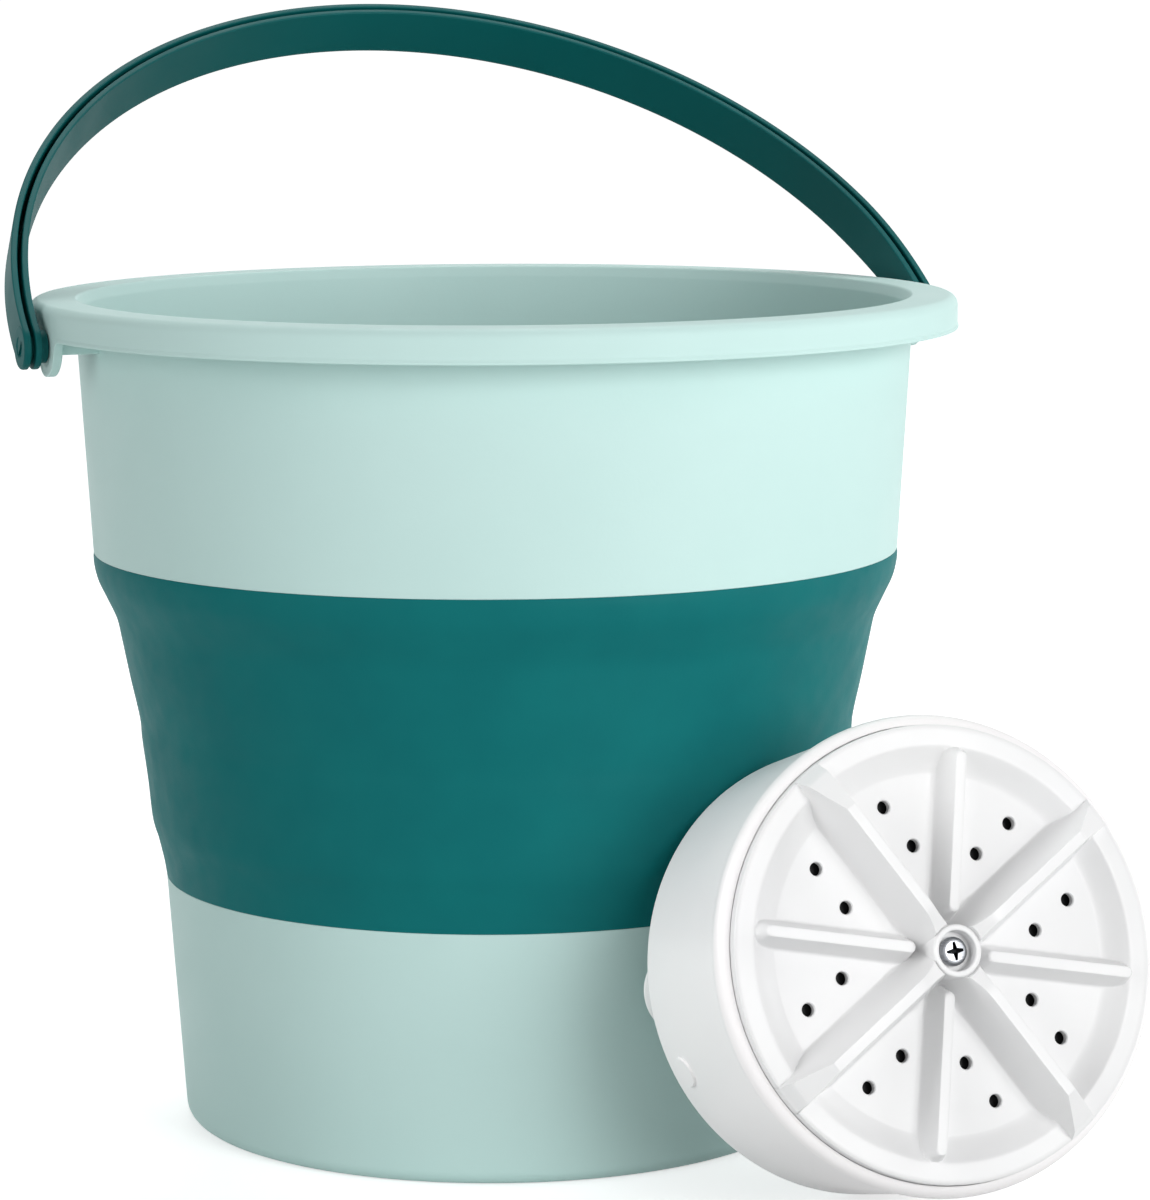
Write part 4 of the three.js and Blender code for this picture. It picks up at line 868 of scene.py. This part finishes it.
def tall_level(along, offset):
    """The boss's level at the hub, then a level crest, then a flat that falls to the disc's edge."""
    crest_level = DISH_LEVEL + TALL_RIB_RISE
    rising = BOSS_TOP + (crest_level - BOSS_TOP) * (along - TALL_START) / TALL_RIB_HUB_LENGTH
    drop = TALL_RIB_RISE - TALL_RIB_END_RISE
    falling = crest_level - drop * (along - FLAT_START) / TALL_RIB_FLAT_LENGTH
    ending = RING_LEVEL + TALL_END_STEEPNESS * (TALL_END + TALL_END_GAP - along)
    crest = soft_min(soft_min(rising, crest_level, CREST_SOFT), falling, BEND_SOFT)
    crest = soft_min(crest, ending, CREST_SOFT)
    half, root = tall_crest_half(along), tall_root_half(along)
    side = crest - (crest - ROOT_LEVEL) * (offset - half) / (root - half)
    return soft_min(crest, side, TALL_EDGE_SOFT)


def low_level(along, offset):
    """A level crest with round ends, its sides falling evenly all round."""
    crest = DISH_LEVEL + LOW_RIB_RISE
    half = RIB_CREST / 2
    beyond = max(LOW_CREST_ENDS[0] - along, along - LOW_CREST_ENDS[1], 0)
    away = math.hypot(beyond, offset)
    side = crest - (crest - ROOT_LEVEL) * (away - half) / (LOW_RIB_ROOT / 2 - half)
    return soft_min(crest, side, LOW_EDGE_SOFT)


def dish_level(radius):
    """The dish curves up to the ring, ever steeper."""
    share = max((radius - (RING_INNER - DISH_CURVE)) / DISH_CURVE, 0)
    return soft_min(DISH_LEVEL + (RING_LEVEL - DISH_LEVEL) * share ** DISH_POWER, RING_LEVEL, RING_SOFT)


def face_level(radius, angle):
    """Height of the impeller's face; angles count from a tall rib."""
    tall_angle = (angle + EIGHTH) % QUARTER - EIGHTH
    low_angle = angle % QUARTER - EIGHTH
    level = dish_level(radius)
    for found, part in ((tall_level, tall_angle), (low_level, low_angle)):
        turn = math.radians(part)
        rib = found(radius * math.cos(turn), abs(radius * math.sin(turn)))
        level = soft_max(level, rib, FOOT_SOFT)
    return level


# Where the face's points lie: beside a rib's crest and foot in millimetres, and between ribs
CREST_OFFSETS = (-0.35, -0.1, 0.15, 0.4)
FOOT_SHARES = (0.3, 0.5, 0.7, 0.85)
FOOT_OFFSETS = (-0.2, 0.2, 0.6, 1.2)
LARGEST_SINE = 0.99
EDGE_ROOM = 42
MIDDLE_STEPS = 8


def face_angles(radius):
    """Angles round the face at a radius, close together along the ribs' edges."""
    def turned(offsets):
        return [math.degrees(math.asin(min(offset / radius, LARGEST_SINE))) for offset in offsets]

    def crest_and_foot(half, root):
        crest = turned([half / 2, *[half + offset for offset in CREST_OFFSETS]])
        foot = turned([*[half + (root - half) * share for share in FOOT_SHARES],
                       *[root + offset for offset in FOOT_OFFSETS]])
        return crest, foot

    tall_crest, tall_foot = crest_and_foot(tall_crest_half(radius), tall_root_half(radius))
    low_crest, low_foot = crest_and_foot(RIB_CREST / 2, LOW_RIB_ROOT / 2)
    room = EDGE_ROOM - tall_crest[-1] - low_crest[-1]
    wanted = tall_foot[-1] - tall_crest[-1] + low_foot[-1] - low_crest[-1]
    shrink = min(room / wanted, 1)
    tall = tall_crest + [tall_crest[-1] + (angle - tall_crest[-1]) * shrink for angle in tall_foot]
    low = low_crest + [low_crest[-1] + (angle - low_crest[-1]) * shrink for angle in low_foot]
    start, end = tall[-1], EIGHTH - low[-1]
    middle = [start + (end - start) * step / MIDDLE_STEPS for step in range(1, MIDDLE_STEPS)]
    sector = [0, *tall, *middle, *[EIGHTH - angle for angle in reversed(low)]]
    mirror = [QUARTER - angle for angle in reversed(sector[1:])]
    quarter = [*sector, EIGHTH, *mirror]
    return [angle + QUARTER * turn for turn in range(4) for angle in quarter]


# Radii of the rings of points: at the hub, along the ribs and over the dish's curved edge
BOSS_FOOT = BOSS_RADIUS + 0.5
FACE_RADII = [BOSS_FOOT]
FACE_RADII += [8.6 + 0.5 * step for step in range(14)]
FACE_RADII += [16.4 + 2.1 * step for step in range(17)]
FACE_RADII += [51.2, 51.8, 52.1, 52.4, 53, 53.7, 54.4, 55.1, 55.8, 56.3, 56.8, 57.3, 57.8, 58.3, 58.7]
FACE_RADII += [59.1, 59.4, 59.7, 60, 60.5, 61.2, 62, 62.8, 63.5, 64.2, TALL_END]
UNDERSIDE_RADII = (50, 38, 26, 14, 4.2)

SHAFT_BORE_RADIUS = 4.2
SHAFT_BORE_TOP = 65
SCREW_BORE_RADIUS = 2.2
RECESS_FLOOR_ROUND = 0.5
RECESS_EDGE_ROUND = 0.45
BOSS_EDGE_ROUND = 0.6
BOSS_DRAFT = 0.1
BOSS_SIDE_DROP = 2
BOSS_BLEND_DROP = 0.9
BOSS_BLEND_SHARES = (0.25, 0.55, 0.85)
BOSS_BLEND_WIDTH = 0.12
BOSS_FOOT_LIFT = 0.3
# The round of the impeller's edge, as (inset, drop)
EDGE_ROUND = ((0.28, 0.26), (0.06, 0.55), (0, 0.9))
RIM_CHAMFER = 0.3
RIM_THICKNESS = 1.7
RIM_FOOT = 2
HOLE_CHAMFER = 0.3
HOLE_TOOL_RISE = 0.5
HOLE_TOOL_DROP = 1
IMPELLER_SHARP = 38


def impeller():
    rows = []

    def ring(radius, level, angles):
        rows.append([on_circle(radius, angle, level) for angle in angles])

    hub_angles = face_angles(BOSS_FOOT)
    for radius, level in rounded([
        (SHAFT_BORE_RADIUS, SHAFT_BORE_TOP), (SCREW_BORE_RADIUS, SHAFT_BORE_TOP),
        (SCREW_BORE_RADIUS, RECESS_FLOOR), (RECESS_RADIUS, RECESS_FLOOR, RECESS_FLOOR_ROUND),
        (RECESS_RADIUS, BOSS_TOP, RECESS_EDGE_ROUND),
        (BOSS_RADIUS - BOSS_DRAFT, BOSS_TOP, BOSS_EDGE_ROUND), (BOSS_RADIUS, BOSS_TOP - BOSS_SIDE_DROP),
    ])[:-1]:
        ring(radius, level, hub_angles)
    feet = [face_level(BOSS_FOOT, angle) for angle in hub_angles]
    top = BOSS_TOP - BOSS_BLEND_DROP
    for share in BOSS_BLEND_SHARES:
        radius = BOSS_RADIUS + BOSS_BLEND_WIDTH * share
        rows.append([on_circle(radius, angle, top + (min(foot + BOSS_FOOT_LIFT, top) - top) * share)
                     for angle, foot in zip(hub_angles, feet)])
    for radius in FACE_RADII:
        angles = face_angles(radius)
        rows.append([on_circle(radius, angle, face_level(radius, angle)) for angle in angles])
    rim_angles = face_angles(TALL_END)
    for inset, drop in EDGE_ROUND:
        ring(IMPELLER_RADIUS - inset, RING_LEVEL - drop, rim_angles)
    for inset, level in (
        (0, IMPELLER_LOWEST + RIM_CHAMFER), (RIM_CHAMFER, IMPELLER_LOWEST),
        (RIM_THICKNESS, IMPELLER_LOWEST), (RIM_FOOT, IMPELLER_UNDERSIDE),
    ):
        ring(IMPELLER_RADIUS - inset, level, rim_angles)
    for radius in UNDERSIDE_RADII:
        ring(radius, IMPELLER_UNDERSIDE, rim_angles)
    body = skin("impeller_disc", rows, IMPELLER @ Matrix.Rotation(math.radians(EIGHTH), 4, "Z"))
    bottom, top = IMPELLER_UNDERSIDE - HOLE_TOOL_DROP, DISH_LEVEL + HOLE_TOOL_RISE
    outline = [
        (0, bottom), (HOLE_RADIUS, bottom), (HOLE_RADIUS, DISH_LEVEL - HOLE_CHAMFER),
        (HOLE_RADIUS + HOLE_CHAMFER, DISH_LEVEL), (HOLE_RADIUS + HOLE_CHAMFER + HOLE_TOOL_RISE, top),
        (0, top),
    ]
    holes = []
    for circle, step in (OUTER_HOLE, INNER_HOLE):
        for way in FOUR_WAYS:
            for side in (-1, 1):
                centre = on_circle(circle, way + side * step)
                holes.append(lathe("hole", outline, IMPELLER @ Matrix.Translation(centre), HOLE_SIDES))
    return combined(body, holes, "DIFFERENCE")


dress(impeller(), "impeller", "white_plastic", impeller_white_painted_shade, "impeller", sharp=IMPELLER_SHARP)


# Impeller screw: a pan head with a cross recess

SCREW_BOTTOM = RECESS_FLOOR + 0.3
SCREW_TOP = RECESS_FLOOR + 2.5
SHANK_LENGTH = 14
SHANK_RADIUS = 1.9
SHANK_TIP_RADIUS = 1.2
SHANK_TIP_LENGTH = 1.5
SCREW_HEAD_RADIUS = 4.2
SCREW_HEAD_FOOT_ROUND = 0.2
SCREW_HEAD_SHOULDER = (SCREW_HEAD_RADIUS, SCREW_TOP - 1.1, 0.6)
SCREW_HEAD_CROWN = (3.4, SCREW_TOP - 0.2, 1.4)
SCREW_STEPS = 5
SCREW_SHARP = 30
SCREW_TURN = 14
CROSS_LENGTH = 2.7
CROSS_WIDTH = 0.76
CROSS_DEPTH = 1.9
CROSS_TIP = 0.5
CROSS_FLOOR_LENGTH = 0.45
CROSS_FLOOR_WIDTH = 0.7
CROSS_FULL_DEPTH = 0.25
CROSS_SLACK = 0.1
CROSS_BRIGHT_DEPTH = 0.24

# The cross's corners: an arm's direction and the corner's shift in widths
CROSS_CORNERS = (
    (1, 0, 0, -CROSS_TIP), (1, 0, 0, CROSS_TIP), (0, 0, 1, 1),
    (0, 1, CROSS_TIP, 0), (0, 1, -CROSS_TIP, 0), (0, 0, -1, 1),
    (-1, 0, 0, CROSS_TIP), (-1, 0, 0, -CROSS_TIP), (0, 0, -1, -1),
    (0, -1, -CROSS_TIP, 0), (0, -1, CROSS_TIP, 0), (0, 0, 1, -1),
)


def cross_recess():
    """The tool for the cross recess: its arms narrow to their tips, and the cross to its floor."""
    place = IMPELLER @ Matrix.Rotation(math.radians(SCREW_TURN), 4, "Z")
    rows = []
    for level, long, wide in (
        (SCREW_TOP - CROSS_DEPTH, CROSS_FLOOR_LENGTH * CROSS_LENGTH, CROSS_FLOOR_WIDTH * CROSS_WIDTH),
        (SCREW_TOP - CROSS_FULL_DEPTH * CROSS_DEPTH, CROSS_LENGTH, CROSS_WIDTH),
        (SCREW_TOP + CROSS_DEPTH, CROSS_LENGTH, CROSS_WIDTH),
    ):
        rows.append([(x * long + u * wide, y * long + v * wide, level) for x, y, u, v in CROSS_CORNERS])
    return skin("cross", rows, place, wrap=False, capped=True)


def impeller_screw():
    end = SCREW_BOTTOM - SHANK_LENGTH
    outline = rounded([
        (0, end), (SHANK_TIP_RADIUS, end), (SHANK_RADIUS, end + SHANK_TIP_LENGTH),
        (SHANK_RADIUS, SCREW_BOTTOM), (SCREW_HEAD_RADIUS, SCREW_BOTTOM, SCREW_HEAD_FOOT_ROUND),
        SCREW_HEAD_SHOULDER, SCREW_HEAD_CROWN, (0, SCREW_TOP),
    ], SCREW_STEPS)
    screw = lathe("impeller_screw_head", outline, IMPELLER, MEDIUM_SIDES)
    return combined(screw, [cross_recess()], "DIFFERENCE")


screw = dress(impeller_screw(), "impeller", "steel", steel, "impeller_screw", sharp=SCREW_SHARP)
# The cross recess's walls get the near-black steel as painted shade inside the recess
second_material(screw, cross_painted_shade, IMPELLER, CROSS_LENGTH + CROSS_SLACK,
                SCREW_TOP - CROSS_DEPTH - CROSS_SLACK, SCREW_TOP - CROSS_BRIGHT_DEPTH)


# Rear cover, suction cups and rear screws

CUP_ANGLES = [turn + CUP_FIRST_ANGLE for turn in THREE_WAYS]
CUP_TO_SCREW = 60
REAR_SCREW_ANGLES = [angle + CUP_TO_SCREW for angle in CUP_ANGLES]
REAR_SCREW_CIRCLE = 58.1
COVER_OUTER = 63
COVER_REAR = 2
COVER_FRONT = 4.4
# The hollow's inner and outer radius and level, and the groove's line of (radius, level)
COVER_HOLLOW = (16, 17, 2.6)
COVER_GROOVE = ((57, 2), (58, 2.4), (60, 2.4), (60.6, 2))
COVER_STEP_ROUND = 0.4
COVER_REAR_ROUND = 0.5
COVER_FRONT_ROUND = 0.3
COVER_CUT = (1, 6)
SCREW_HOLE_RADIUS = 1.6
CUP_HOLE_RADIUS = 3.1


def on_unit(radius, angle):
    return UNIT @ Matrix.Translation(on_circle(radius, angle))


def rear_cover():
    """A plate with a shallow hollow round its middle and a groove near its edge."""
    inner, outer, hollow = COVER_HOLLOW
    outline = rounded([
        (0, hollow), (inner, hollow, COVER_STEP_ROUND), (outer, COVER_REAR, COVER_STEP_ROUND),
        *[(radius, level, COVER_STEP_ROUND) for radius, level in COVER_GROOVE],
        (COVER_OUTER, COVER_REAR, COVER_REAR_ROUND), (COVER_OUTER, COVER_FRONT, COVER_FRONT_ROUND),
        (0, COVER_FRONT),
    ])
    cover = lathe("rear_cover_plate", outline, UNIT, CASING_SIDES)
    holes = [rod("hole", SCREW_HOLE_RADIUS, *COVER_CUT, on_unit(REAR_SCREW_CIRCLE, angle))
             for angle in REAR_SCREW_ANGLES]
    holes += [rod("hole", CUP_HOLE_RADIUS, *COVER_CUT, on_unit(CUP_CIRCLE, angle))
              for angle in CUP_ANGLES]
    return combined(cover, holes, "DIFFERENCE")


dress(rear_cover(), "washer", "white_plastic", white, "rear_cover")


# A cup's section: the snap stem, the bell's outer line, its lip and its inner line
CUP_STEM = ((0, 7.3), (1.5, 7.3, 0.4), (4.1, 4.7, 0.3), (2.8, 4.7), (2.8, 1.7, 0.2), (6, 1.7, 0.5))
CUP_OUTER_LINE = ((6, -1.3), (6.2, -2.6), (8, -5.2), (10.6, -7.6), (13, -9.5))
CUP_LIP = [(13.1, -9.8), (12.9, -10), (12.3, -9.95)]
CUP_INNER_LINE = ((11.6, -9.2), (9, -7.4), (6.4, -6.3), (3, -5.4), (0, -5))
CUP_OUTER_STEPS = 20
CUP_INNER_STEPS = 16
CUP_SHARP = 50


def suction_cup(name, angle):
    bell = spline(CUP_OUTER_LINE, CUP_OUTER_STEPS) + CUP_LIP + spline(CUP_INNER_LINE, CUP_INNER_STEPS)
    return lathe(name, rounded(CUP_STEM) + bell, on_unit(CUP_CIRCLE, angle), MEDIUM_SIDES)


for number, angle in enumerate(CUP_ANGLES, 1):
    dress(suction_cup(f"suction_cup_{number}_rubber", angle), "washer", "grey_rubber", grey_rubber,
          f"suction_cup_{number}", sharp=CUP_SHARP)


# A rear screw's section from its tip to its head, and the corners of its cross's arms
REAR_SCREW_LINE = (
    (0, 11.7), (1.3, 10.4), (1.3, 1.7), (2.8, 1.7, 0.2), (2.8, 0.9, 0.5), (1.9, 0.35, 1), (0, 0.3),
)
REAR_SCREW_ARM = ((-1.4, -0.35, -0.5), (1.4, 0.35, 1.1))
REAR_SCREW_TURNS = (20, 110)


def rear_screw(name, angle):
    place = on_unit(REAR_SCREW_CIRCLE, angle)
    screw = lathe(name, rounded(REAR_SCREW_LINE), place, SMALL_SIDES)
    for turn in REAR_SCREW_TURNS:
        arm_place = place @ Matrix.Rotation(math.radians(turn), 4, "Z")
        combined(screw, [block("arm", *REAR_SCREW_ARM, arm_place)], "DIFFERENCE")
    return screw


for number, angle in enumerate(REAR_SCREW_ANGLES, 1):
    dress(rear_screw(f"rear_screw_{number}_head", angle), "washer", "steel", steel,
          f"rear_screw_{number}")


# Nodes that keep their CAD shape and get a finished material

KEPT = {
    "output_shaft": steel, "shaft_seal": black_rubber, "front_bush": bronze, "rear_bush": bronze,
    "output_gear": acetal, "motor_pinion": bronze, "motor_shaft": steel, "motor": steel,
    "gear_plate": steel, "rear_gasket": black_rubber, "control_board": board_green,
    "power_inlet": black_rubber, "inlet_plug": white,
    "plate_screw_1": steel, "plate_screw_2": steel, "plate_screw_3": steel,
    "motor_screw_1": steel, "motor_screw_2": steel,
}
for name, material in KEPT.items():
    mesh = frame["nodes"][name].data
    mesh.materials.clear()
    mesh.materials.append(material)
unit_pieces.append(frame["nodes"]["inlet_plug"])


# Floor, light and world

FLOOR_HALF = 60
FLOOR_DROP = 0.15
FLOOR_SHADE = (229, 230, 230)
FLOOR_COLOUR = (232, 233, 233)
FLOOR_PATCHES = 3
FLOOR_DETAIL = 2
FLOOR_NEAR = 0.5
FLOOR_FAR = 3.5
FLOOR_GLOW_NEAR = 0.6
FLOOR_GLOW_FAR = 0.85
WORLD_LIGHT = 0.25


def seen_by_eye(tree):
    """1 for the rays that show a white surround: from the camera, off metal and through glass."""
    path = tree.nodes.new("ShaderNodeLightPath")
    value = path.outputs["Is Camera Ray"]
    for ray in ("Is Glossy Ray", "Is Transmission Ray"):
        either = tree.nodes.new("ShaderNodeMath")
        either.operation = "MAXIMUM"
        tree.links.new(value, either.inputs[0])
        tree.links.new(path.outputs[ray], either.inputs[1])
        value = either.outputs[0]
    return value


def floor():
    """A pale floor that looks the brighter the further it lies, so that no horizon shows."""
    material, tree, shader = shader_tree("pale_floor")
    shader.inputs["Roughness"].default_value = 1
    shader.inputs["Specular IOR Level"].default_value = 0
    coords = tree.nodes.new("ShaderNodeTexCoord").outputs["Object"]
    drift = noise(tree, FLOOR_PATCHES, FLOOR_DETAIL, coords)
    tree.links.new(mixed(tree, drift, linear(*FLOOR_SHADE), linear(*FLOOR_COLOUR)),
                   shader.inputs["Base Color"])
    distance = tree.nodes.new("ShaderNodeVectorMath")
    distance.operation = "LENGTH"
    tree.links.new(coords, distance.inputs[0])
    glow = ranged(tree, distance.outputs["Value"], FLOOR_GLOW_NEAR, FLOOR_GLOW_FAR,
                  FLOOR_NEAR, FLOOR_FAR)
    shown = tree.nodes.new("ShaderNodeMath")
    shown.operation = "MULTIPLY"
    tree.links.new(seen_by_eye(tree), shown.inputs[0])
    tree.links.new(glow, shown.inputs[1])
    shader.inputs["Emission Color"].default_value = (1, 1, 1, 1)
    tree.links.new(shown.outputs[0], shader.inputs["Emission Strength"])
    corners = [(-FLOOR_HALF, -FLOOR_HALF, 0), (FLOOR_HALF, -FLOOR_HALF, 0), (FLOOR_HALF, FLOOR_HALF, 0),
               (-FLOOR_HALF, FLOOR_HALF, 0)]
    piece = object_of("floor", corners, [(0, 1, 2, 3)])
    piece.location.z = -FLOOR_DROP * MM
    piece.data.materials.append(material)


def area_light(name, azimuth, elevation, distance, size, level):
    """A square lamp towards the part; level is how bright it makes a white surface that faces it."""
    turn, rise = math.radians(azimuth), math.radians(elevation)
    away = Vector((math.sin(turn) * math.cos(rise), -math.cos(turn) * math.cos(rise), math.sin(rise)))
    data = bpy.data.lights.new(name, "AREA")
    data.size = size
    data.energy = level * (math.pi * distance) ** 2
    light = bpy.data.objects.new(name, data)
    bpy.context.scene.collection.objects.link(light)
    light.location = away * distance + Vector((0, 0, BUCKET_HEIGHT / 2 * MM))
    light.rotation_mode = "QUATERNION"
    light.rotation_quaternion = (-away).to_track_quat("-Z", "Y")
    return light


def only_on(light, pieces):
    """Lets a lamp light some pieces alone, and lets only those pieces shade it."""
    lit = bpy.data.collections.new(light.name + "_pieces")
    for piece in pieces:
        lit.objects.link(piece)
    light.light_linking.receiver_collection = lit
    light.light_linking.blocker_collection = lit


def world():
    """A weak even light that the eye sees as white."""
    made = bpy.data.worlds.new("world")
    bpy.context.scene.world = made
    made.use_nodes = True
    tree = made.node_tree
    background = tree.nodes["Background"]
    background.inputs["Color"].default_value = (1, 1, 1, 1)
    tree.links.new(ranged(tree, seen_by_eye(tree), WORLD_LIGHT, 1, 0, 1), background.inputs["Strength"])


floor()
world()
area_light("key", azimuth=40, elevation=15, distance=2.3, size=1.1, level=0.53)
area_light("side", azimuth=95, elevation=15, distance=2.3, size=1.1, level=0.22)
area_light("fill", azimuth=-42, elevation=12, distance=2.3, size=1.5, level=0.24)
area_light("back", azimuth=180, elevation=62, distance=2.3, size=1.2, level=0.4)
unit_fill = area_light("unit_fill", azimuth=-64, elevation=26, distance=1.8, size=1, level=0.54)
only_on(unit_fill, unit_pieces)

bpy.context.scene.view_settings.view_transform = "Standard"
